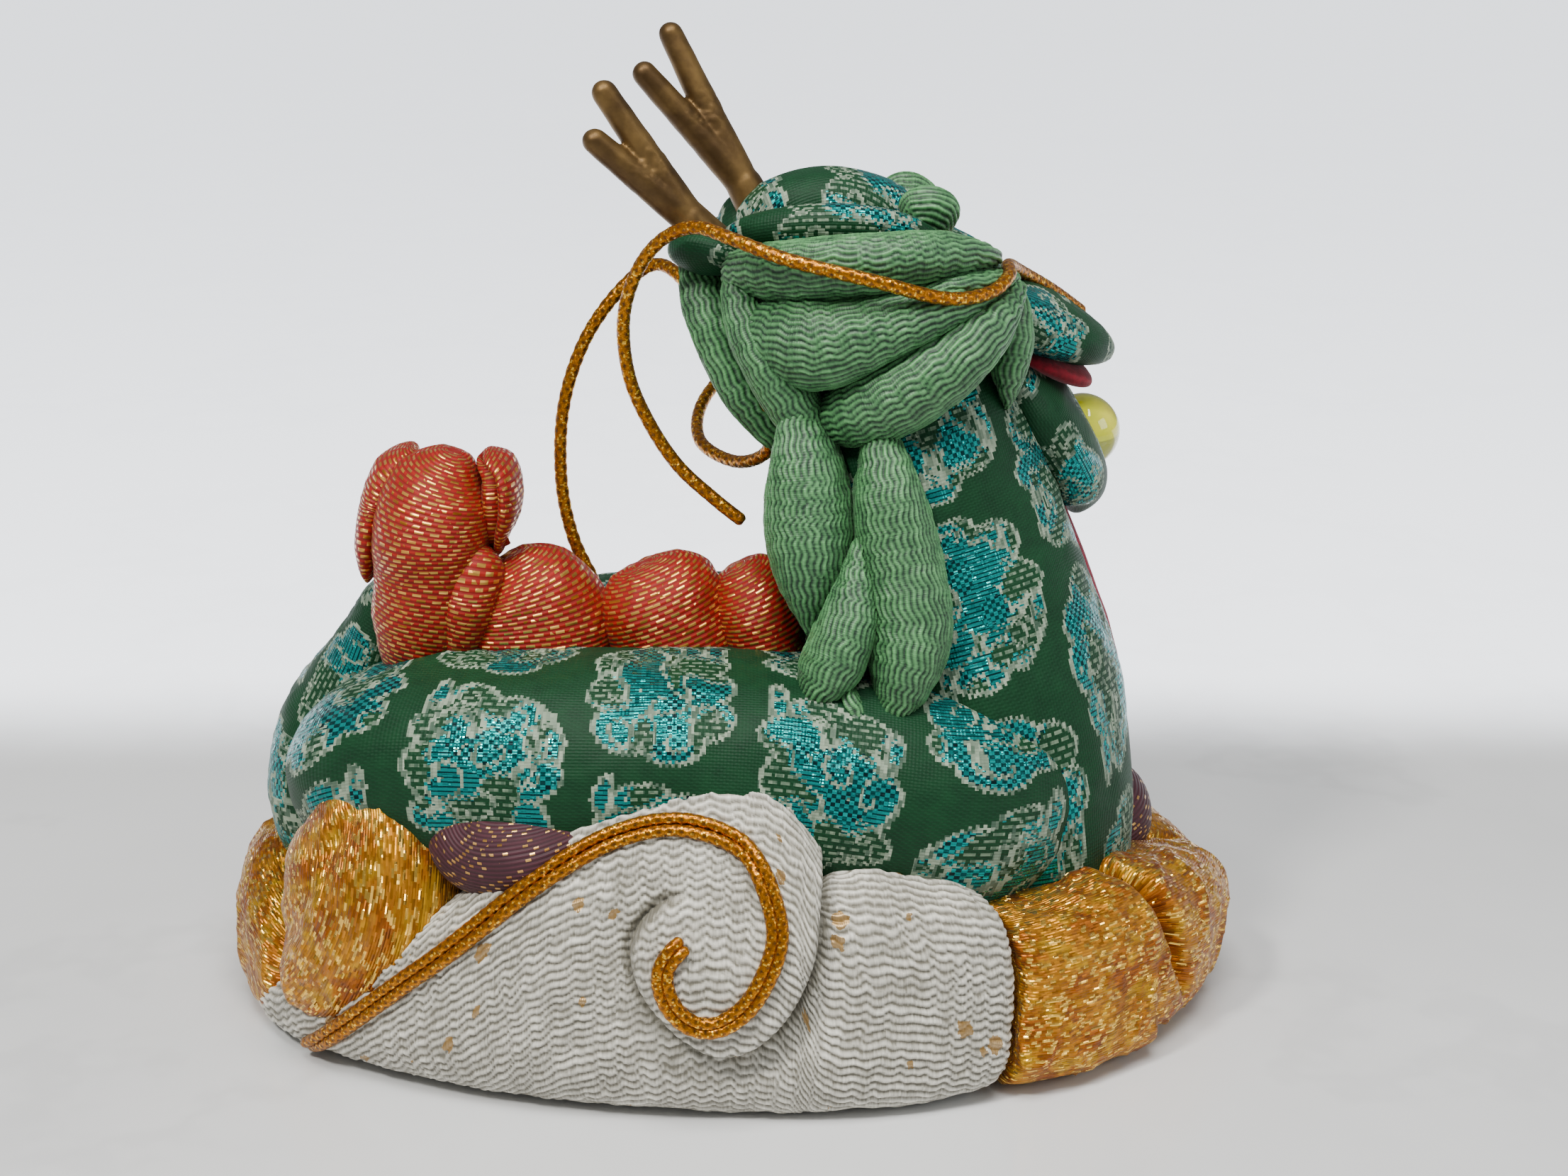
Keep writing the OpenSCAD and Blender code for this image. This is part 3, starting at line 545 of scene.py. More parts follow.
# Control points of each padded piece, in mm: x, y, z, half width, half thickness for a roll, or angle, bottom, top, thickness for a cloud on the rim.
SHAPES = {
    "cloud_white_front": [('cloud', [[-163, 0.3, 7, 6], [-152, 0.3, 8.5, 8], [-144, 0.3, 12, 9], [-138, 0.3, 15, 9], [-125, 0.3, 25, 9], [-116, 0.3, 32.5, 9], [-106.5, 0.3, 41, 9], [-94, 0.3, 45, 9], [-87, 0.3, 44.5, 9], [-82.5, 0.3, 41, 9], [-79, 0.3, 34, 9], [-71, 0.3, 32, 9], [-57, 0.3, 28, 9]], {'q': 8.0, 'q2': 16.0})],
    "cloud_white_curl": [('roll', [[-1, -48, 12, 4, 2], [0, -48.5, 19, 10.5, 3], [1, -47.5, 26, 12.5, 3], [2, -44.5, 35, 11.5, 3], [-1, -40, 43, 5, 2]], {'q': 4.0, 'u': 0.6})],
    "cloud_gold_left_upper": [('roll', [[-48, -18, 38, 6, 8], [-46, -23, 32, 12.5, 11], [-47, -26, 23, 13.5, 12], [-53, -25, 13, 10, 9], [-58, -22, 8, 5, 7]], {'o': [-0.45, -0.9, 0.1], 'u': 0.7})],
    "cloud_gold_left_outer": [('cloud', [[140, 0.3, 17, 8], [160, 0.3, 21, 9], [180, 0.3, 22, 10], [195, 0.3, 18, 10], [207, 0.3, 11, 7]], {})],
    "cloud_purple_left": [('roll', [[-38, -27, 35.5, 3, 6], [-32, -30.5, 32.5, 6.5, 8.5], [-24, -33, 33.5, 6, 9], [-14.5, -33.5, 36.5, 2, 5]], {'u': 0.6})],
    "cloud_gold_right": [('cloud', [[-57, 0.3, 24, 9.5], [-50, 0.3, 24.5, 11], [-43, 0.3, 25, 11], [-35, 0.3, 25, 10]], {'q': 16.0, 'q2': 8.0})],
    "cloud_gold_right_outer": [('cloud', [[-36, 0.3, 25, 10], [-26, 0.3, 24, 12], [-12, 0.3, 22.5, 12.5], [0, 0.3, 20, 12], [10, 0.3, 17, 10]], {})],
    "cloud_purple_right": [('roll', [[51, -8, 21, 3, 5], [54.5, 1, 23, 6, 7], [52, 12, 23, 6, 7], [45, 20, 21, 3, 5]], {'o': [1, 0.2, 0.2], 'u': 0.6})],
    "cloud_white_back": [('cloud', [[50, 0.3, 22, 9], [72, 0.3, 30, 10], [95, 0.3, 33, 10], [118, 0.3, 28, 9], [138, 0.3, 20, 8]], {})],
    "cloud_gold_back_left": [('roll', [[-30, 38, 22, 4, 6], [-40, 33, 24, 9, 9], [-52, 25, 22, 10, 9], [-60, 15, 18, 6, 7]], {'o': [-0.4, 0.9, 0.1], 'u': 0.6})],
    "cloud_gold_back_right": [('cloud', [[8, 0.3, 17, 10], [25, 0.3, 19.5, 11], [40, 0.3, 21, 10], [54, 0.3, 20, 9]], {})],
    "body_front": [('roll', [[45, -9, 31, 14, 14], [28, -18, 34, 17, 18], [3, -20, 38, 16.5, 18], [-22, -20, 38.5, 16.5, 18], [-43, -15, 37, 16, 17], [-55, -4, 31, 13.5, 14]], {})],
    "body_tail": [('roll', [[-54, 4, 14, 10, 12], [-57, 2, 26, 10.5, 13], [-56, 3, 37, 9.5, 12], [-51, 2, 48, 6.5, 9], [-47, 0, 59, 4.5, 7]], {})],
    "body_back": [('roll', [[44, 9, 31, 14, 14], [27, 16, 34, 16, 17], [2, 17, 37.5, 16.5, 18], [-24, 15, 37.5, 16.5, 18], [-45, 9, 33, 14, 14]], {'o': [0, 1, 0]})],
    "fin_1": [('roll', [[-37, -11, 50, 2, 5], [-36, -11, 56, 3.6, 6.5], [-35, -11, 61, 4.3, 7], [-34.5, -11, 64.5, 4.5, 6], [-34, -10, 67.5, 3, 4]], {})],
    "fin_2": [('roll', [[-26, -8, 47, 10.5, 8], [-26.5, -8, 52.5, 11.5, 9.5], [-27, -8, 57.5, 10.5, 9], [-28, -8, 61.5, 8.2, 8], [-30, -8, 65.5, 5, 5]], {})],
    "fin_3": [('roll', [[-5.5, -8, 46, 8.5, 8], [-7, -8, 51.5, 9.3, 9.5], [-8.5, -8, 56, 9, 9], [-10.3, -8, 60.5, 8.6, 8], [-11.8, -8, 64.3, 7, 5]], {})],
    "fin_4": [('roll', [[6, -8, 46, 4, 7], [5.5, -8, 51, 5, 9], [4.5, -8, 55.5, 6, 9], [3, -8, 60, 5.8, 8], [1, -8, 64, 4.8, 5]], {})],
    "tail_flame": [('roll', [[-44.5, -8, 45.5, 4, 7], [-43, -8, 51.5, 6, 9], [-41.7, -8, 57, 7.6, 10], [-40.7, -8, 63, 7.9, 10.5], [-40.3, -8, 69, 8.2, 11.5], [-39, -8, 75, 7.6, 10], [-37, -8, 80, 4.2, 6]], {})],
    "tail_flame_curl": [('roll', [[-33.5, -8, 79.5, 1.8, 5], [-31, -8, 77, 2.6, 7], [-30.7, -8, 73, 2.6, 7], [-31.5, -8, 69, 1.8, 6], [-32, -8, 65.5, 0.8, 4]], {})],
    "tail_flame_lobe": [('roll', [[-50, -5, 61, 0.8, 5], [-49.5, -5, 66.5, 2, 7], [-48.3, -4, 72, 2.5, 8], [-46, -4, 76.5, 2.5, 7], [-43, -4, 79.5, 1.4, 5]], {})],
    "mane_top_band": [('roll', [[0, -5, 103.5, 3.6, 4.5], [9, -11, 104.3, 4.3, 6.5], [18.5, -13, 105.3, 4.3, 6.5], [27, -11, 106, 3.6, 6], [35.5, -5, 105, 1, 4]], {'o': [0, -0.9, 0.4], 'u': 0.5})],
    "mane_middle": [('roll', [[37, -5, 102.5, 1, 3], [28.5, -12, 100.7, 3.4, 6], [20, -14, 98, 4.8, 7], [11.5, -13, 95.8, 6.6, 7], [2, -8, 97, 4.6, 5]], {'u': 0.5})],
    "mane_upper_small": [('roll', [[22, -13.5, 102.3, 0.8, 4], [30, -11, 103.4, 1.8, 5], [38, -3, 103, 1.2, 3]], {'u': 0.5})],
    "mane_diagonal": [('roll', [[38.5, -4, 101.5, 1.6, 4], [33, -10, 96.7, 4.2, 6.5], [27, -13, 92, 5.2, 7.5], [20.5, -13, 88, 5.4, 7.5], [12.5, -11, 84, 4.2, 5]], {'u': 0.5})],
    "mane_cheek_tuft": [('roll', [[38.5, -1, 102, 1.2, 3.5], [38.2, -5, 96, 2.6, 4.5], [37.6, -7, 91, 2.5, 4], [37.4, -8, 85.5, 0.6, 2]], {'u': 0.6})],
    "mane_back_outer": [('roll', [[-4.5, 2, 106, 3, 4], [-1.7, -1, 98.5, 3.8, 6], [1, -3, 92.2, 3.6, 6], [4.5, -4, 86, 3.2, 6], [9, -6, 78, 1.8, 3]], {'o': [-0.5, -0.85, 0], 'u': 0.6})],
    "mane_back_inner": [('roll', [[0.5, -5, 105, 2, 4], [2.8, -8, 97.5, 3.4, 6], [5.8, -10, 91.8, 3.6, 6.5], [9.5, -11, 86, 3.6, 6], [14.5, -12, 78.5, 1.8, 4]], {'u': 0.6})],
    "mane_lower_left": [('roll', [[9, -9, 89.5, 1.2, 4], [10.5, -13, 80.5, 5, 8], [11, -15, 72.5, 6.1, 9], [11.3, -17.5, 65, 5, 8], [11.5, -20, 57, 1.2, 4]], {'o': [-0.2, -1, 0], 'u': 0.6})],
    "mane_small": [('roll', [[17.3, -20, 71, 0.8, 3], [16.7, -21, 64, 3.2, 6], [15.3, -23, 58.5, 4, 7], [12.8, -25, 53.5, 3.8, 6], [9.5, -26, 49, 1, 3]], {'u': 0.6})],
    "mane_lower_right": [('roll', [[20, -12, 86.5, 2.6, 5], [21.3, -16, 76.5, 5, 7.5], [23, -18, 68, 5.7, 8], [24.3, -21, 59.5, 6, 8], [23, -24, 52, 4.2, 7], [19.8, -27, 44.5, 0.8, 3]], {'u': 0.6})],
    "mane_tip": [('roll', [[15.5, -26, 53, 1, 3], [17, -26.5, 49, 1.7, 4], [18.5, -27, 45.5, 0.7, 2]], {})],
    "mane_nape": [('roll', [[1, 6, 106, 4, 3.5], [1.5, 6, 98, 8.5, 5], [5, 6, 91, 9, 5.5], [10, 5, 83, 9.5, 6], [13, 2, 74, 9, 6.5], [14, 1, 64, 7, 6], [14, 0, 55, 3, 4]], {'o': [-1, 0.1, 0.2]})],
    "crown_near": [('roll', [[0, -2, 107.5, 1.5, 3.5], [6.5, -5, 108.7, 2.8, 4.5], [13.5, -6.5, 109.2, 3.3, 5], [21, -5.5, 108.8, 2.8, 4.5], [28, -3, 107.5, 1.2, 3]], {'o': [0, -0.75, 0.66]})],
    "crown_far": [('roll', [[1, 6, 108, 2, 3], [7, 7, 110, 5.5, 5], [14, 8, 110.3, 6.8, 6], [21, 8, 109.5, 5.8, 5], [28, 7, 107.5, 2.4, 3]], {'o': [0, -0.1, 1]})],
    "brows": [('roll', [[23.5, -1.5, 110, 2, 3], [26.8, -2, 110.8, 3.1, 4], [30, -1.5, 109.3, 1.8, 3]], {'o': [0, -0.4, 0.9]}), ('roll', [[21, 14.5, 110, 1.6, 3], [25, 15.5, 110.5, 2.4, 4], [29, 15.5, 109, 1.6, 3]], {'o': [0, 0.4, 0.9]})],
    "face": [('roll', [[8, 4, 102, 5, 12], [18, 6, 103.5, 5.5, 13], [28, 8, 103, 5.5, 12.5], [37, 9.5, 99.5, 4.5, 11]], {'o': [0, -1, 0]})],
    "horn_roots": [('roll', [[-6, 0, 105.5, 1.8, 4], [-3, -3, 106, 3, 5], [1, -6, 106, 2, 4]], {'o': [-0.4, -0.8, 0.3]}), ('roll', [[-1.5, 13, 107, 1.8, 4], [2, 12, 108.5, 3, 5], [6, 14, 108.5, 2, 4]], {'o': [-0.3, 0.8, 0.3]})],
    "upper_jaw": [('roll', [[26, 6, 99.5, 5, 12.5], [37, 8, 97.5, 5, 14], [46, 10, 93.5, 4.2, 12], [53, 12, 90.5, 2.4, 7]], {})],
    "lower_jaw": [('roll', [[36.5, 5, 92, 3, 10], [41, 7, 85, 5.3, 13], [46, 9, 77.5, 5.6, 13], [49, 10, 71.5, 4.8, 11], [49.5, 10, 67, 2.2, 6]], {})],
    "mouth_lining": [('roll', [[37, 8, 92.5, 1, 8], [43, 9, 90, 1.9, 11], [49, 11, 87.3, 1.6, 9]], {})],
}
KIND = {}
for _names, _kind in (
    ("cloud_white_front cloud_white_back", "white"),
    ("cloud_gold_left_upper cloud_gold_left_outer cloud_gold_right cloud_gold_back_left cloud_gold_back_right", "gold"),
    ("cloud_purple_left cloud_purple_right", "purple"),
    ("body_front body_tail body_back", "brocade"),
    ("neck_near neck_far", "brocade_neck"),
    ("neck_belly", "belly"),
    ("fin_1 fin_2 fin_3 fin_4 tail_flame tail_flame_curl tail_flame_lobe", "fire"),
    ("mane_top_band mane_middle mane_upper_small mane_diagonal mane_cheek_tuft mane_back_outer mane_back_inner mane_lower_left mane_small mane_lower_right mane_tip mane_nape mane_far_top mane_far_middle mane_far_diagonal mane_far_cheek mane_far_lower", "green"),
    ("crown_near crown_far horn_roots upper_jaw lower_jaw face", "brocade_small"),
    ("brows", "green"),
    ("mouth_lining", "felt"),
):
    for _n in _names.split():
        KIND[_n] = _kind
FINISH = {"white": (M_WHITE, "crepe_white"), "gold": (M_GOLD, "lame_gold"), "purple": (M_PURPLE, "lame_purple"), "brocade": (M_BROCADE, "brocade_green"),
          "brocade_neck": (M_BROCADE_NECK, "brocade_green"), "brocade_small": (M_BROCADE_SMALL, "brocade_green"), "belly": (M_BELLY, "belly_silk"),
          "fire": (M_FIRE, "lame_red"), "green": (M_GREEN, "crepe_green"), "felt": (M_FELT, "felt_crimson")}
# spacing along, spacing across, size of the lumps in the stuffing
FINE = {"white": (0.42, 0.19, 0.30), "gold": (0.55, 0.5, 0.40), "purple": (0.6, 0.6, 0.20), "brocade": (0.8, 0.7, 0.30), "brocade_neck": (0.7, 0.6, 0.30),
        "brocade_small": (0.6, 0.5, 0.15), "belly": (0.6, 0.5, 0.15), "fire": (0.45, 0.45, 0.16), "green": (0.38, 0.18, 0.22), "felt": (0.6, 0.5, 0.1)}
WHITE_A, WHITE_B = 72.0, 48.0  # half sizes of the base
HIDDEN = {"cloud_white_back", "mane_nape", "mane_far_top", "mane_far_middle", "mane_far_diagonal", "mane_far_cheek", "mane_far_lower"}


def sections(e, u, w, h, step, rest):
    """Angles round a section, evenly spaced along its skin: by step on the side that shows and by rest on the hidden one."""
    a = np.linspace(-math.pi / 2, 3 * math.pi / 2, 4001)
    sn = bow(np.sin(a), e)
    x, y = w * bow(np.cos(a), e), h * np.where(sn < 0, sn * u, sn)
    mid = (a[1:] + a[:-1]) / 2
    L = np.hypot(np.diff(x), np.diff(y)) / np.where(np.sin(mid) > -0.12, step, rest)
    c = np.concatenate([[0], np.cumsum(L)])
    m = max(28, int(c[-1]))
    return np.interp(np.linspace(0, c[-1], m + 1)[:-1], c, a)


def roll_grid(P, o=(0, -1, 0), q=4.0, e=2.2, u=1.0, ds=0.5, da=0.5, hidden=3.0):
    P = np.asarray(P, float)
    O = np.asarray(o, float)
    if O.ndim == 1:
        O = np.repeat(O[None], len(P), 0)
    T = np.linspace(0, 1, 1600)
    C = curve(P, T)
    F = np.maximum(1 - np.abs(2 * T - 1) ** q, 0) ** (1 / q)
    R = F * np.maximum(C[:, 3], C[:, 4])
    L = np.concatenate([[0], np.cumsum(np.sqrt(np.sum(np.diff(C[:, :3], axis=0) ** 2, 1) + np.diff(R) ** 2))])
    n = max(12, int(L[-1] / (ds * DET)))
    U = np.linspace(0, L[-1], n + 1)[1:-1]
    t = np.interp(U, L, T)
    c = curve(P, t)
    d = unit(curve(P, np.minimum(t + 0.01, 1))[:, :3] - curve(P, np.maximum(t - 0.01, 0))[:, :3])
    On = curve(O, t)
    N = unit(On - d * np.sum(On * d, 1, keepdims=True))
    S = np.cross(d, N)
    f = (np.maximum(1 - np.abs(2 * t - 1) ** q, 0) ** (1 / q))[:, None]
    k = len(P) // 2
    a = sections(e, u, P[:, 3].max(), P[k, 4], da * DET, da * DET * hidden)
    cs, sn = bow(np.cos(a), e), bow(np.sin(a), e)
    sn = np.where(sn < 0, sn * u, sn)
    X = c[:, None, :3] + S[:, None] * (c[:, 3:4] * f * cs)[..., None] + N[:, None] * (c[:, 4:5] * f * sn)[..., None]
    return dict(X=X, tips=np.vstack([curve(P, [0.0])[:, :3], curve(P, [1.0])[:, :3]]), U=U, a=a, t=t, mid=c, mirror=False, caps="tip")


def cloud_grid(L, q=8.0, q2=8.0, e=3.2, ds=0.5, da=0.5, hidden=3.0):
    """A pad on the rim of the base, upright in section. The same formula as in the CAD model, at fine spacing."""
    L = np.array(L, float)
    L[:, 0] = np.radians(L[:, 0])

    def shape(t):
        p = np.where(t < 0.5, q, q2)
        return np.maximum(1 - np.abs(2 * t - 1) ** p, 0) ** (1 / p)

    def at(l, f, c, s):
        z = (l[..., 1] + l[..., 2]) / 2 - (l[..., 2] - l[..., 1]) / 2 * f * c
        r = l[..., 3] * (f * np.where(s < 0, 0.25 * s, s) - 1) - 0.009 * np.maximum(0, z - 14) ** 2
        return np.stack([(WHITE_A + r) * np.cos(l[..., 0]), (WHITE_B + r) * np.sin(l[..., 0]), z], -1)

    T = np.linspace(0, 1, 2400)
    C = curve(L, T)
    F = shape(T)
    mid = at(C, F, 0 * T, 1 + 0 * T)
    S = np.concatenate([[0], np.cumsum(np.sqrt(np.sum(np.diff(mid, axis=0) ** 2, 1) + np.diff(F * (C[:, 2] - C[:, 1]) / 2) ** 2))])
    n = max(12, int(S[-1] / (ds * DET)))
    U = np.linspace(0, S[-1], n + 1)[1:-1]
    t = np.interp(U, S, T)
    l = curve(L, t)
    k = int(np.argmax(C[:, 2] - C[:, 1]))
    a = sections(e, 0.25, (C[k, 2] - C[k, 1]) / 2, C[k, 3], da * DET, da * DET * hidden)
    f = shape(t)[:, None]
    X = at(l[:, None, :], f, bow(np.cos(a), e)[None], bow(np.sin(a), e)[None])
    tips = at(curve(L, [0.0, 1.0]), np.zeros(2), np.zeros(2), np.zeros(2))
    c = at(l, 0 * t, 0 * t, 0 * t)
    return dict(X=X, tips=tips, U=U, a=a, t=t, mid=c, mirror=False, caps="tip", rim=True)


NECK = [[38, -4, 18, 22.5, 24], [37, -4, 32, 21.5, 23.5], [34, -3, 46, 22, 22], [29, 0, 64, 20, 19.5], [24.5, 2, 80, 17.5, 18.5], [21, 4, 91, 13.5, 15]]


def wrap_grid(a0, a1, ds, da):
    T = np.linspace(0, 1, 600)
    C = curve(NECK, T)
    L = np.concatenate([[0], np.cumsum(np.linalg.norm(np.diff(C[:, :3], axis=0), axis=1))])
    n = int(L[-1] / (ds * DET))
    U = np.linspace(0, L[-1], n + 1)
    t = np.interp(U, L, T)
    c = curve(NECK, t)
    d = unit(curve(NECK, np.minimum(t + 0.01, 1))[:, :3] - curve(NECK, np.maximum(t - 0.01, 0))[:, :3])
    o = np.array([0.0, -1.0, 0.0])
    N = unit(o - d * (d @ o)[:, None])
    S = np.cross(d, N)
    k = max(10, int(math.radians(abs(a1 - a0)) * 21 / (da * DET)))
    s = np.linspace(0, 1, k + 1)
    a = np.radians(a0 + (a1 - a0) * s)
    ring = lambda r: c[:, None, :3] + S[:, None] * (c[:, 3:4] * np.cos(a) * r)[..., None] + N[:, None] * (c[:, 4:5] * np.sin(a) * r)[..., None]
    e = np.abs(2 * s - 1)
    r_out = (1 - 0.05 * e ** 4 - 0.07 * e ** 26)[None] * (1 - 0.10 * np.abs(2 * t - 1) ** 6)[:, None]
    out = ring(r_out)
    return dict(X=np.concatenate([out, ring(0.5)[:, ::-1]], 1), U=U, t=t, mid=c, k=k, e=e, mirror=False, caps="wrap")


def flip(g, about, normal):
    n = np.asarray(normal, float) / np.linalg.norm(normal)
    for key in ("X", "tips"):
        if key in g:
            p = g[key] - about
            g[key] = g[key] - 2 * (p @ n)[..., None] * n
    g["mirror"] = not g["mirror"]
    return g


def fit(grids, node):
    """Brings the pieces of a node to the box that the frame gives for it."""
    lo, hi = [np.array(list(v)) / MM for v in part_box(node)]
    P = np.vstack([g["X"].reshape(-1, 3) for g in grids])
    a, b = P.min(0), P.max(0)
    far = max(np.abs(a - lo).max(), np.abs(b - hi).max())
    if far > 2.5:
        print("BOX", node, np.round(a - lo, 1), np.round(b - hi, 1))
        return grids
    s = np.clip((hi - lo) / (b - a), 0.9, 1.1)
    for g in grids:
        for key in ("X", "tips"):
            if key in g:
                g[key] = (g[key] - (a + b) / 2) * s + (lo + hi) / 2
    return grids


def surface(g):
    """Outward normals and the two coordinates of the fabric, in mm: U along and V across, 0 on the middle line of the side that shows."""
    X = g["X"]
    N = grid_normals(X)
    mid = X.mean(1, keepdims=True)
    if g["caps"] == "wrap":
        k = g["k"]
        sgn = np.sign(np.sum(N[:, :k] * (X[:, :k] - g["mid"][:, None, :3])))
    else:
        sgn = np.sign(np.sum(N * (X - mid)))
    g["sign"] = sgn
    step = np.linalg.norm(np.roll(X, -1, 1) - X, axis=2)
    V = np.concatenate([np.zeros((len(X), 1)), np.cumsum(step, 1)], 1)
    j = g["k"] // 2 if g["caps"] == "wrap" else int(np.argmin(np.abs(g["a"] - math.pi / 2)))
    g["V"] = V - V[:, j:j + 1]
    g["Uv"] = np.repeat(g["U"][:, None], V.shape[1], 1)
    return N * sgn


def crepe_ridge(U, V, seed, pitch=0.95, swing=0.33, wave=4.2):
    """Ridges that run along the cloth in a shared zigzag, broken up here and there."""
    ph = U / wave + 0.50 * noise(U / 12.0, V / 14.0, seed=seed + 6) + 0.12 * noise(U / 3.0, V / 5.0, seed=seed + 7)
    zig = np.sin(2 * math.pi * ph) + 0.25 * np.sin(4 * math.pi * ph + 1.0)
    amp = 0.55 + 0.45 * noise(U / 7.0, V / 6.0, seed=seed + 8)
    wob = swing * zig * amp + 0.5 * swing * noise(U / 0.9, V / 2.5, seed=seed + 1) + 0.7 * noise(U / 18.0, V / 16.0, seed=seed + 2)
    s = (V + wob) / pitch
    r = 0.5 + 0.5 * np.cos(2 * math.pi * s)
    part = 0.78 + 0.22 * noise(U / 2.2, np.floor(s + 0.5) * 1.7, seed=seed + 3)
    return (r ** 0.55) * part


def swell(g, kind, seed, extra=None):
    """Moves the skin along its normals: lumps in the stuffing, puckers by the seams, and the folds or ridges of each fabric."""
    N = surface(g)
    X, U, V = g["X"], g["Uv"][:, :-1], g["V"][:, :-1]
    x, y, z = X[..., 0], X[..., 1], X[..., 2]
    lump = FINE[kind][2]
    h = lump * noise(x / 8, y / 8, z / 8, seed) + 0.4 * lump * noise(x / 3.2, y / 3.2, z / 3.2, seed + 5)
    if g["caps"] == "wrap":
        k = g["k"]
        side = np.concatenate([g["e"], np.ones(k + 1)])[None] + 0 * h
        show = np.concatenate([np.ones(k + 1), np.zeros(k + 1)])[None] + 0 * h
    else:
        side = np.abs(np.cos(g["a"]))[None] + 0 * h
        show = (np.sin(g["a"]) > -0.15).astype(float)[None] + 0 * h
    end = np.abs(2 * g["t"] - 1)[:, None]
    tuck = np.maximum(side ** 10, end ** 10)
    h = h + 0.16 * tuck * noise(x / 1.3, y / 1.3, z / 1.3, seed + 9)
    ridge = np.zeros_like(h)
    if kind in ("green", "white"):
        W = V + (g["level"] if "level" in g else 0)
        ridge = crepe_ridge(U, W, seed + 20, 0.92 if kind == "green" else 1.24, 0.36 if kind == "green" else 0.44, 2.9 if kind == "green" else 3.1)
        h = h + show * (ridge - 0.5) * (0.36 if kind == "green" else 0.42)
    elif kind == "gold":
        f = 1 - np.abs(noise(x / 7, y / 7, z / 9, seed + 30))
        f2 = 1 - np.abs(noise(x / 3.2, y / 3.2, z / 4.0, seed + 31))
        h = h + 0.55 * (f ** 5 - 0.3) + 0.20 * (f2 ** 5 - 0.3)
    elif kind == "fire":
        f = 1 - np.abs(noise(x / 5, y / 6, z / 5, seed + 40))
        h = h + 0.16 * f ** 6
    elif kind.startswith("brocade"):
        f = 1 - np.abs(noise(x / 10, y / 10, z / 10, seed + 50))
        h = h + 0.10 * f ** 8
    if extra is not None:
        h = h + extra(g, N)
    g["X"] = X + N * h[..., None]
    # painted shade: the groove mask from curl_relief lowers the ridge attribute, which darkens the crepe colour in the
    # groove
    if "dark" in g:
        ridge = ridge * (1 - 0.95 * g.pop("dark"))
    if g.get("rim"):
        out = (1.0 + 2.2 * np.clip((x + 30) / 70, 0, 1)) * np.exp(-(np.maximum(z, 0) / 10) ** 2) * (y < 0) * (x < 58)
        g["X"][..., 1] -= out * np.clip(-y / 20.0, 0, 1)
    g["ridge"] = ridge


def shell(name, g, material, uvs=(1, 1), turn=False, shift=(0.0, 0.0)):
    """The mesh of one grid."""
    X = g["X"]
    n, m = X.shape[:2]
    idx = np.arange(n * m).reshape(n, m)
    a, b, c, d = idx[:-1], np.roll(idx, -1, 1)[:-1], np.roll(idx, -1, 1)[1:], idx[1:]
    u, v = g["Uv"] * uvs[0] + shift[0], g["V"] * uvs[1] + shift[1]
    if "level" in g:
        v = v + np.concatenate([g["level"], g["level"][:, :1]], 1) * uvs[1]
    UV = np.stack([v, u] if turn else [u, v], -1)
    flipf = (g["sign"] < 0) != g["mirror"]
    order = lambda arr, ax: arr if not flipf else np.flip(arr, ax)
    quads = order(np.stack([a, b, c, d], -1).reshape(-1, 4), 1)
    uvq = order(np.stack([UV[:-1, :-1], UV[:-1, 1:], UV[1:, 1:], UV[1:, :-1]], -2).reshape(-1, 4, 2), 1)
    polys, uvs_ = [quads], [uvq]
    if g["caps"] == "tip":
        t0, t1 = n * m, n * m + 1
        f0 = np.stack([np.roll(idx[0], -1), idx[0], np.full(m, t0)], -1)
        f1 = np.stack([idx[-1], np.roll(idx[-1], -1), np.full(m, t1)], -1)
        ua = np.stack([UV[0, 1:], UV[0, :-1], (UV[0, :-1] + UV[0, 1:]) / 2], -2)
        ub = np.stack([UV[-1, :-1], UV[-1, 1:], (UV[-1, :-1] + UV[-1, 1:]) / 2], -2)
        polys.append(order(np.vstack([f0, f1]), 1))
        uvs_.append(order(np.concatenate([ua, ub]), 1))
        pts = np.vstack([X.reshape(-1, 3), g["tips"]])
        ridge = np.append(g["ridge"].ravel(), [0.5, 0.5])
    else:
        k = g["k"]
        j = np.arange(k)
        f0 = np.stack([idx[0][j + 1], idx[0][j], idx[0][2 * k + 1 - j], idx[0][2 * k - j]], -1)
        f1 = np.stack([idx[-1][j], idx[-1][j + 1], idx[-1][2 * k - j], idx[-1][2 * k + 1 - j]], -1)
        ua = np.stack([UV[0, j + 1], UV[0, j], UV[0, j], UV[0, j + 1]], -2)
        ub = np.stack([UV[-1, j], UV[-1, j + 1], UV[-1, j + 1], UV[-1, j]], -2)
        polys.append(order(np.vstack([f0, f1]), 1))
        uvs_.append(order(np.concatenate([ua, ub]), 1))
        pts, ridge = X.reshape(-1, 3), g["ridge"].ravel()
    ob = mk(name, pts, polys, uvs_, {"ridge": ridge})
    ob.data.materials.append(material)
    return ob


def finish_piece(ob, nodes):
    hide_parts(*nodes)
    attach(ob, "root")
    return ob


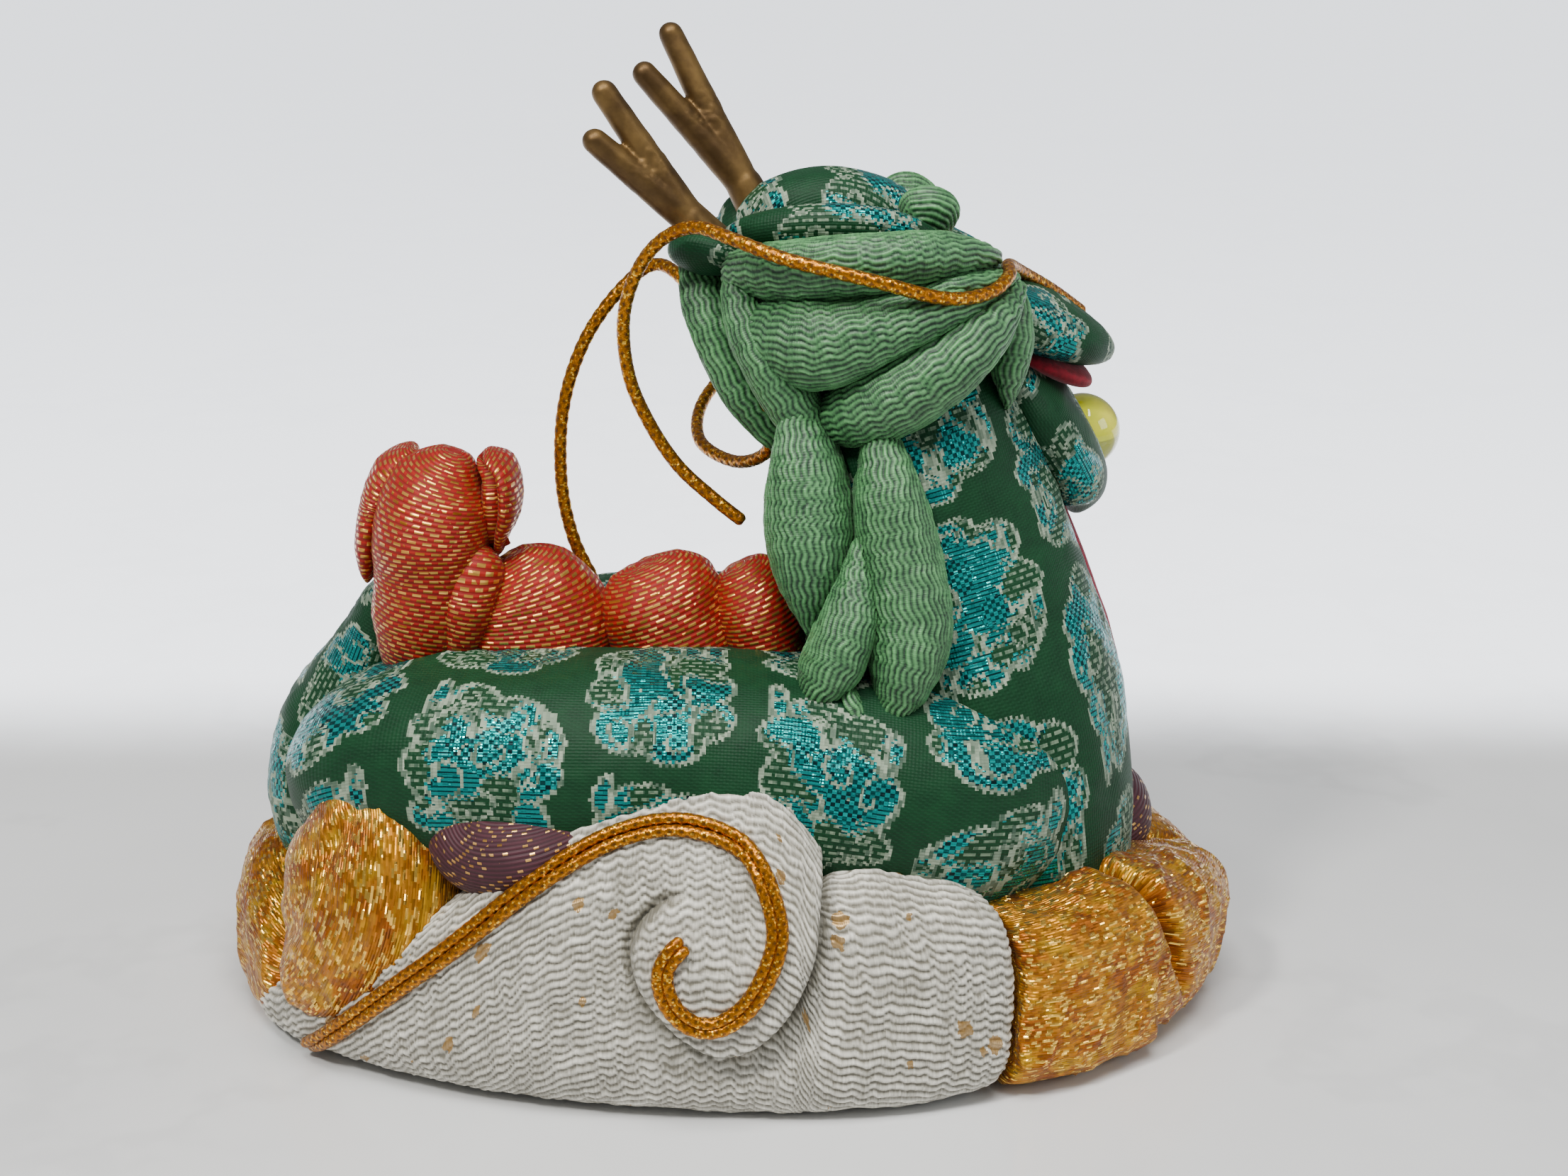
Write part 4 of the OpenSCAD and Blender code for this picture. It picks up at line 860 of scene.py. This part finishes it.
def base_grids(node):
    kind = KIND[node]
    ds, da, _ = FINE[kind]
    if node in HIDDEN:
        ds, da = ds * 1.5, da * 1.4
    if node in ("neck_near", "neck_far", "neck_belly"):
        return fit([wrap_grid(*{"neck_near": (0, 182), "neck_far": (182, 305), "neck_belly": (-55, 0)}[node], ds, da)], node)
    far = {"mane_far_top": "mane_top_band", "mane_far_middle": "mane_middle", "mane_far_diagonal": "mane_diagonal", "mane_far_cheek": "mane_cheek_tuft", "mane_far_lower": "mane_lower_right"}
    grids = []
    for what, P, kw in SHAPES[far.get(node, node)]:
        g = (cloud_grid if what == "cloud" else roll_grid)(P, ds=ds, da=da, **kw)
        if node == "mane_far_lower":
            flip(g, np.array([0, -0.5, 0]), (0, 1, 0))
        elif node in far:
            flip(g, np.array([18, 5.6, 0]), (-0.196, 0.98, 0))
        grids.append(g)
    return grids if node == "cloud_gold_right" else fit(grids, node)


# ------------------------------------------------------------------ the cords, first
def tube_frames(R, d, ds):
    k = len(R) - 1
    T = np.linspace(0, 1, k * 80 + 1)
    C = curve(R, T)
    L = np.concatenate([[0], np.cumsum(np.linalg.norm(np.diff(C, axis=0), axis=1))])
    n = max(8, int(L[-1] / ds))
    s = np.linspace(0, L[-1], n + 1)
    C = np.stack([np.interp(s, L, C[:, i]) for i in range(3)], 1)
    D = unit(np.gradient(C, axis=0))
    N = np.zeros_like(C)
    v = np.array([0.3, 0.1, 1.0])
    for i in range(len(C)):
        v = v - D[i] * (v @ D[i])
        v = v / np.linalg.norm(v)
        N[i] = v
    return C, D, N, np.cross(D, N), s


def braid(name, R, d, sides=20, ds=0.22, lay=1.7, n_strand=4, frames=None):
    C, D, N, B, s = frames if frames else tube_frames(np.asarray(R, float), d, ds * DET)
    a = 2 * math.pi * np.arange(sides) / sides
    A, S = np.meshgrid(a, s)
    p = 0.5 + 0.5 * np.cos(n_strand * A + 2 * math.pi * S / lay)
    q = 0.5 + 0.5 * np.cos(n_strand * A - 2 * math.pi * S / lay)
    ridge = np.maximum(p, q)
    r = d / 2 * (0.90 + 0.12 * ridge)
    ends = np.minimum(np.minimum(S - 0, S[-1, 0] - S) / (0.35 * d), 1)
    r = r * (0.55 + 0.45 * np.sqrt(np.clip(ends, 0, 1)))
    X = C[:, None] + N[:, None] * (r * np.cos(A))[..., None] + B[:, None] * (r * np.sin(A))[..., None]
    g = dict(X=X, tips=np.vstack([C[0], C[-1]]), U=s, a=a, t=s / s[-1], mirror=False, caps="tip", ridge=ridge)
    N_ = grid_normals(X)
    g["sign"] = np.sign(np.sum(N_ * (X - C[:, None])))
    g["Uv"] = np.repeat(s[:, None], sides + 1, 1)
    g["V"] = np.repeat((np.arange(sides + 1) * math.pi * d / sides)[None], len(s), 0)
    return shell(name, g, M_CORD), C, s[-1]


WHISKERS = {
    "whisker_near": [[50, 14, 95], [45, 9, 99], [40, 3, 102.5], [37.5, -4, 104.5], [37, -10, 104], [34, -14.5, 102.5], [28, -18.5, 102.5], [19, -20.5, 105], [8, -19, 107.5],
                     [1, -15, 109.5], [-4, -11, 110.5], [-8.5, -8, 108.5], [-12, -6, 104], [-14, -5, 97.5], [-13.5, -5, 90], [-11, -5, 83.5], [-7, -6, 77.5], [-2, -7, 73], [2, -8, 70]],
    "whisker_far": [[51, 18, 93], [45, 22, 96.5], [36, 27.5, 98.5], [25, 32, 97], [13, 33, 92.5], [3, 28.5, 87], [-4, 19, 81.5], [-4.5, 9, 77.5], [1, 0, 76.5],
                    [5.5, -6, 80], [4, -8, 87], [-1, -6, 95], [-5.5, -2, 101.5], [-10, 3, 103.5], [-15, 3, 100], [-20, 2, 93], [-23, 1, 84], [-23.5, 0, 74], [-22, -1, 66], [-19, -2, 59.5]],
}
WHISKER_D = 1.8
for _name, _R in WHISKERS.items():
    _ob, _C, _L = braid(_name + "_cord", _R, WHISKER_D)
    finish_piece(_ob, [_name])
    _L * MM
    print("CORD", _name, round(_L, 1), "mm")

# ------------------------------------------------------------------ the padded pieces
CURL = np.array([(12.4, 33.7), (12.2, 28.9), (11.3, 22.4), (8.3, 16), (3.5, 11.4), (-1.5, 10.6), (-6.4, 13.5), (-10.3, 18.1), (-11.9, 22.9), (-11, 26.5), (-8.2, 29.6), (-4.3, 31.1)], float)


def curl_relief(g, N):
    """The curl stands out of the white cloud behind a stepped edge that runs round it and fades at its inner end."""
    T = curve(np.c_[CURL, np.zeros((len(CURL), 1))], np.linspace(0, 1, 241))[:, :2]
    x, z = g["X"][..., 0].ravel(), g["X"][..., 2].ravel()
    near = (g["X"][..., 1].ravel() < 0) & (x > -26) & (x < 30)
    out = np.zeros(len(x))
    px = np.stack([x[near], z[near]], -1)
    best = np.full(len(px), 1e9)
    sd = np.zeros(len(px))
    at = np.zeros(len(px))
    L = np.concatenate([[0], np.cumsum(np.linalg.norm(np.diff(T, axis=0), axis=1))])
    for i in range(len(T) - 1):
        p, e = T[i], T[i + 1] - T[i]
        s = np.clip(((px - p) @ e) / (e @ e), 0, 1)
        dv = px - (p + s[:, None] * e)
        dist = np.linalg.norm(dv, axis=1)
        side = np.sign(e[0] * dv[:, 1] - e[1] * dv[:, 0])
        upd = dist < best
        best = np.where(upd, dist, best)
        sd = np.where(upd, dist * side, sd)
        at = np.where(upd, L[i] + s * (L[i + 1] - L[i]), at)
    sd = -sd  # inside the curl is positive
    amp = np.clip((L[-1] - at) / 5.0, 0, 1) ** 0.8
    fade_out = np.exp(-np.maximum(-sd, 0) ** 2 / 4.5 ** 2)
    fade_in = np.exp(-np.maximum(sd, 0) ** 2 / 11.0 ** 2)
    step = np.tanh(sd / 0.5)
    h = 1.7 * step * amp * np.where(sd > 0, fade_in, fade_out)
    h = h + 0.9 * np.exp(-((px[:, 0] - 0.5) ** 2 + (px[:, 1] - 21.5) ** 2) / 7.5 ** 2)
    h = h - 1.3 * amp * np.exp(-((sd + 0.55) / 0.55) ** 2)
    out[near] = h
    # painted shade in the groove round the curl: swell lowers the ridge attribute by this mask, which darkens the crepe
    # colour there
    dark = np.zeros(len(x))
    dark[near] = amp * np.exp(-((sd + 0.3) / 0.75) ** 2)
    g["dark"] = dark.reshape(g["X"].shape[:2])
    return out.reshape(g["X"].shape[:2])


def right_crease(g, N):
    """A deep fold from the top of the right-hand gold panel down to a third of its height."""
    x, y, z = g["X"][..., 0], g["X"][..., 1], g["X"][..., 2]
    th = np.degrees(np.arctan2(y / WHITE_B, x / WHITE_A))
    line = -34.0 + 0.014 * np.maximum(27 - z, 0) ** 2
    arc = (th - line) * 1.05
    deep = np.clip((z - 5.0) / 12.0, 0, 1) ** 0.7
    h = -5.0 * deep * np.exp(-(arc / 1.15) ** 2) + 0.7 * deep * np.exp(-((arc - 4.5) / 3.0) ** 2) + 0.5 * deep * np.exp(-((arc + 4.5) / 3.0) ** 2)
    return h


def left_fold(g, N):
    """Soft folds where the left-hand gold cloth turns round the base."""
    x, z = g["X"][..., 0], g["X"][..., 2]
    d = (x + 57.0) * 0.8 - (z - 24.0) * 0.45
    e = (x + 44.0) * 0.55 - (z - 30.0) * 0.8
    return -0.9 * np.exp(-(d / 1.6) ** 2) - 0.35 * np.exp(-(e / 1.4) ** 2)


def curl_hollow(g, N):
    v = g["V"][:, :-1]
    return -3.2 * np.exp(-((v + 0.9) / 0.9) ** 2) * (np.sin(g["a"]) > 0)[None]


EXTRA = {"cloud_white_front": curl_relief, "cloud_gold_right": right_crease, "cloud_gold_left_upper": left_fold, "tail_flame_curl": curl_hollow}
SHAPES["cloud_gold_right"] = [("cloud", [[-57, 0.3, 24, 9.5], [-50, 0.3, 24.5, 11], [-43, 0.3, 25, 11], [-36, 0.3, 25.5, 11], [-26, 0.3, 24.5, 12], [-12, 0.3, 22.5, 12.5], [0, 0.3, 20, 12], [10, 0.3, 17, 10]], {"q": 16.0, "q2": 8.0})]
STANDS = {"cloud_white_front": ["cloud_white_front", "cloud_white_curl"], "cloud_gold_right": ["cloud_gold_right", "cloud_gold_right_outer"]}
UPRIGHT = {"fin_1", "fin_2", "fin_3", "fin_4", "tail_flame", "tail_flame_curl", "tail_flame_lobe"}
PIECES = {}
for _i, _node in enumerate(sorted(KIND)):
    _kind = KIND[_node]
    _mat, _slot = FINISH[_kind]
    for _k, _g in enumerate(base_grids(_node)):
        if _kind == "white":
            _zc = _g["X"][:, int(np.argmin(np.abs(_g["a"] - math.pi / 2))), 2]
            _g["level"] = np.repeat(-_zc[:, None], _g["X"].shape[1], 1)
        swell(_g, _kind, 100 + 13 * _i + _k, EXTRA.get(_node))
        _name = _node + ("" if _k == 0 else "_%d" % (_k + 1)) + "_pad"
        _ob = shell(_name, _g, _mat, turn=_kind in ("brocade_neck", "gold") or _node in UPRIGHT, shift=((_i * 3.7) % 11, (_i * 5.3) % 9))
        finish_piece(_ob, STANDS.get(_node, [_node]))
        PIECES[_name] = _ob

# ------------------------------------------------------------------ the gold cord on the cloud
def bvh_of(*names):
    V, F = [], []
    for n in names:
        me = PIECES[n].data
        base = len(V)
        V += [v.co.copy() for v in me.vertices]
        F += [[base + i for i in p.vertices] for p in me.polygons]
    return BVHTree.FromPolygons(V, F)


cloud_bvh = bvh_of("cloud_white_front_pad")
STRANDS = {
    "cloud_cord_outer": [[-58, 2], [-52, 8], [-43.5, 16], [-36.5, 22], [-28, 29.5], [-22, 34], [-16, 37.5], [-10, 39.5], [-5, 40], [0, 39], [4, 36.5], [6.5, 32], [7.5, 27], [6, 22], [3, 17], [-1.5, 14.5], [-5.5, 15.5], [-8, 19], [-8.5, 22.5], [-7, 25.5], [-5, 27]],
    "cloud_cord_inner": [[-57, 0.8], [-51, 6.8], [-42.5, 14.8], [-35.5, 20.8], [-27, 28.3], [-21.5, 32.6], [-15.5, 36], [-10, 38], [-5, 38.5], [-0.6, 37.6], [3, 35.3], [5, 31.5], [6, 27], [4.6, 22.5], [2, 18.3], [-1.5, 16], [-4.7, 17], [-6.5, 19.5], [-7, 22.5], [-5.8, 24.6], [-4.4, 25.6]],
}
CORD_D = 1.6
_out, _in = [curve(np.c_[np.asarray(_R, float), np.zeros(len(_R))], np.linspace(0, 1, 400))[:, :2] for _R in STRANDS.values()]
_cen = (_out + _in) / 2
_tan = unit(np.gradient(_cen, axis=0))
_side = np.stack([-_tan[:, 1], _tan[:, 0]], -1)
for _k, _name in enumerate(STRANDS):
    _off = (0.5 - _k) * 1.28
    pts = []
    for x, z in _cen + _side * _off:
        hit = cloud_bvh.ray_cast(Vector((x * MM, -0.12, z * MM)), Vector((0, 1, 0)))
        if hit[0] is not None and hit[0].y < 0:
            pts.append(np.array(hit[0]) / MM + np.array((0, -1.0, 0.15)) * (0.30 * CORD_D))
    pts = np.array(pts)
    for _ in range(30):
        pts[1:-1] = (pts[:-2] + 2 * pts[1:-1] + pts[2:]) / 4
    _ob, _, _ = braid(_name + "_strand", pts[::6], CORD_D, sides=18, lay=1.5)
    finish_piece(_ob, ["cloud_cord"])

# ------------------------------------------------------------------ horns
def capsule(bm_pts, bm_faces, p, q, r, s, sides=28, rings=8):
    p, q = np.asarray(p, float), np.asarray(q, float)
    d = unit(q - p)
    v = np.array([0.2, 1.0, 0.1])
    n = unit(v - d * (v @ d))
    b = np.cross(d, n)
    rows = []
    for k in range(rings + 1):
        th = math.pi / 2 * k / rings
        rows.append((p - d * r * math.cos(th), r * math.sin(th)))
    for k in range(1, 12):
        f = k / 12
        rows.append((p + (q - p) * f, r + (s - r) * f))
    for k in range(rings + 1):
        th = math.pi / 2 * (1 - k / rings)
        rows.append((q + d * s * math.cos(th), s * math.sin(th)))
    base = len(bm_pts)
    for c, rad in rows:
        for j in range(sides):
            a = 2 * math.pi * j / sides
            bm_pts.append(c + (n * math.cos(a) + b * math.sin(a)) * max(rad, 1e-3))
    for i in range(len(rows) - 1):
        for j in range(sides):
            k = (j + 1) % sides
            bm_faces.append([base + i * sides + j, base + i * sides + k, base + (i + 1) * sides + k, base + (i + 1) * sides + j])
    bm_faces.append([base + j for j in range(sides)][::-1])
    bm_faces.append([base + (len(rows) - 1) * sides + j for j in range(sides)])


def solid(name, pts, faces, voxel, smooth, material):
    me = bpy.data.meshes.new(name)
    me.from_pydata([[float(c) * MM for c in p] for p in pts], [], faces)
    me.update()
    ob = bpy.data.objects.new(name, me)
    bpy.context.scene.collection.objects.link(ob)
    mod = ob.modifiers.new("remesh", "REMESH")
    mod.mode = "VOXEL"
    mod.voxel_size = voxel * MM
    mod.use_smooth_shade = True
    mod = ob.modifiers.new("smooth", "SMOOTH")
    mod.factor = 0.5
    mod.iterations = smooth
    dg = bpy.context.evaluated_depsgraph_get()
    new = bpy.data.meshes.new_from_object(ob.evaluated_get(dg))
    ob.modifiers.clear()
    ob.data = new
    new.name = name
    new.polygons.foreach_set("use_smooth", np.ones(len(new.polygons), bool))
    new.materials.clear()
    new.materials.append(material)
    return ob


HORN_R, PRONG_R, PEG_R = 3.1, 1.7, 1.2
HORNS = {"horn_near": ([-1, -2, 106], [-5, -3.5, 110.5], [-17.2, -6, 121], [-16, -3.5, 127], [4, 0.5, 101.5]),
         "horn_far": ([5, 9, 108], [2, 9.5, 113.5], [-11.5, 9.5, 128.5], [-8, 13, 133.5], [9, 7.8, 102.5])}
for _name, (_root, _fork, _ta, _tb, _peg) in HORNS.items():
    pts, faces = [], []
    capsule(pts, faces, _root, _fork, HORN_R * 0.98, HORN_R * 0.82)
    capsule(pts, faces, _fork, _ta, HORN_R * 0.74, PRONG_R)
    capsule(pts, faces, _fork, _tb, HORN_R * 0.74, PRONG_R)
    capsule(pts, faces, _root, _peg, PEG_R, PEG_R)
    _ob = solid(_name + "_cast", pts, faces, 0.28 * DET, 4, M_BRONZE)
    # small casting flaws where the prongs part
    me = _ob.data
    co = np.empty(len(me.vertices) * 3, np.float32)
    me.vertices.foreach_get("co", co)
    co = co.reshape(-1, 3) / MM
    nn = np.empty(len(me.vertices) * 3, np.float32)
    me.vertices.foreach_get("normal", nn)
    nn = nn.reshape(-1, 3)
    crotch = (np.asarray(_fork) * 0.5 + (np.asarray(_ta) + np.asarray(_tb)) / 2 * 0.5)
    near = np.exp(-np.sum((co - crotch) ** 2, 1) / 2.6 ** 2)
    h = 0.04 * noise(co[:, 0] / 1.6, co[:, 1] / 1.6, co[:, 2] / 1.6, 3) + near * 0.30 * noise(co[:, 0] / 0.7, co[:, 1] / 0.7, co[:, 2] / 0.7, 4)
    co = co + nn * h[:, None]
    me.vertices.foreach_set("co", (co * MM).astype(np.float32).ravel())
    me.update()
    finish_piece(_ob, [_name])

# ------------------------------------------------------------------ the glass ball and the eyes
def ball(name, centre, r, seg, material, axis=None, dent=0.0):
    th = np.linspace(0, math.pi, seg // 2 + 1)[1:-1]
    ph = 2 * math.pi * np.arange(seg) / seg
    ax = np.asarray(axis if axis is not None else (0, 0, 1.0), float)
    ax = ax / np.linalg.norm(ax)
    v = np.array([0.13, 0.27, 1.0]) if abs(ax[2]) < 0.9 else np.array([1.0, 0.2, 0.0])
    n = unit(v - ax * (v @ ax))
    b = np.cross(ax, n)
    D = np.cos(th)[:, None, None] * ax + np.sin(th)[:, None, None] * (np.cos(ph)[None, :, None] * n + np.sin(ph)[None, :, None] * b)
    rr = r * (1 + dent * noise(D[..., 0] * 2, D[..., 1] * 2, D[..., 2] * 2, 8))
    X = np.asarray(centre, float) + D * rr[..., None]
    tips = np.vstack([np.asarray(centre) + ax * r, np.asarray(centre) - ax * r])
    g = dict(X=X, tips=tips, U=th * r, a=ph, t=th / math.pi, mirror=False, caps="tip", ridge=np.repeat((th / math.pi)[:, None], seg, 1))
    N_ = grid_normals(X)
    g["sign"] = np.sign(np.sum(N_ * D))
    g["Uv"] = np.repeat((th * r)[:, None], seg + 1, 1)
    g["V"] = np.repeat((np.arange(seg + 1) * r * 2 * math.pi / seg)[None], len(th), 0)
    ob = shell(name, g, material)
    # the tips hold the ends of the scale
    ob.data.attributes["ridge"].data[len(ob.data.vertices) - 2].value = 0.0
    ob.data.attributes["ridge"].data[len(ob.data.vertices) - 1].value = 1.0
    return ob


def middle(node):
    lo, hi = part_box(node)
    return (np.array(list(lo)) + np.array(list(hi))) / 2 / MM


finish_piece(ball("glass_ball_bead", middle("glass_ball"), 5.5, 72, M_GLASS, dent=0.004), ["glass_ball"])
for _name, _c, _ax in (("eye_near_bead", (31, 0.5, 104.5), (0.45, -1.0, 0.22)), ("eye_far_bead", (28, 14.5, 104.5), (0.05, 1.0, 0.22))):
    finish_piece(ball(_name, _c, 3.2, 64, M_EYE, axis=_ax), ["eyes"])

# ------------------------------------------------------------------ the cores and the underside keep their CAD shape
for _node, _mat in (("base_core", M_PASTE), ("neck_core", M_PASTE), ("head_core", M_PASTE), ("underside_sheet", M_PAPER)):
    for _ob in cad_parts[_node] if isinstance(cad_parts[_node], (list, tuple)) else [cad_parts[_node]]:
        if hasattr(_ob, "material_slots"):
            if not _ob.material_slots:
                _ob.data.materials.append(_mat)
            for _s in _ob.material_slots:
                _s.material = _mat

# ------------------------------------------------------------------ floor, light
def plane(name, size, z, material):
    me = bpy.data.meshes.new(name)
    me.from_pydata([(-size, -size, z), (size, -size, z), (size, size, z), (-size, size, z)], [], [[0, 1, 2, 3]])
    ob = bpy.data.objects.new(name, me)
    bpy.context.scene.collection.objects.link(ob)
    me.materials.append(material)
    return ob


def floor_mat():
    """Pale polished floor; further back, behind the object, the flat plane becomes a bright matt backdrop."""
    m = Mat("pale_floor")
    o = m.obj()
    n = m.noise(o, 7.0, 5.0, 0.6)
    vein = (m.noise(o, 5.0, 6.0, 0.65) - 0.5).abs().ramp(0.0, 0.03)
    sep = m.nt.nodes.new("ShaderNodeSeparateXYZ")
    m.nt.links.new(o, sep.inputs[0])
    x, y = E(m, sep.outputs[0]), E(m, sep.outputs[1])
    back = (y + (n - 0.5) * 0.02).ramp(0.078, 0.135)
    c = m.mix(n.ramp(0.3, 0.7), (0.66, 0.665, 0.665), (0.74, 0.745, 0.745))
    c = m.mix(back, c, (0.84, 0.855, 0.89))
    m.set(color=m.shade(c, 0.94 + vein * 0.06), rough=0.16 + back * 0.6, spec=0.5)
    glow = m.mix(back, (0.0, 0.0, 0.0), (0.90, 0.94, 1.0))
    m.nt.links.new(glow, m.p.inputs["Emission Color"])
    m.p.inputs["Emission Strength"].default_value = 1.8
    return m.mat


plane("floor", 14.0, LO[2] - 0.0001, floor_mat())

world = bpy.data.worlds.new("studio")
world.use_nodes = True
world.node_tree.nodes["Background"].inputs[0].default_value = (0.92, 0.95, 1.0, 1.0)
world.node_tree.nodes["Background"].inputs[1].default_value = 0.32
bpy.context.scene.world = world


def area(name, loc, look, size, power, colour=(1, 1, 1)):
    ld = bpy.data.lights.new(name, "AREA")
    ld.shape = "RECTANGLE"
    ld.size, ld.size_y = size
    ld.energy = power
    ld.color = colour
    ob = bpy.data.objects.new(name, ld)
    ob.location = loc
    ob.rotation_euler = (Vector(look) - Vector(loc)).to_track_quat("-Z", "Y").to_euler()
    bpy.context.scene.collection.objects.link(ob)


mid = Vector(((LO[0] + HI[0]) / 2, 0, TALL / 2))
area("overhead", (0.05, -0.25, 0.75), (0.0, 0.0, 0.03), (0.45, 0.30), 6.4, (1.0, 0.99, 0.97))
area("key", (-0.30, -0.35, 0.60), mid, (0.10, 0.10), 3.8, (1.0, 0.98, 0.94))
area("side", (0.55, -0.20, 0.30), mid, (0.25, 0.25), 0.8, (0.95, 0.98, 1.0))
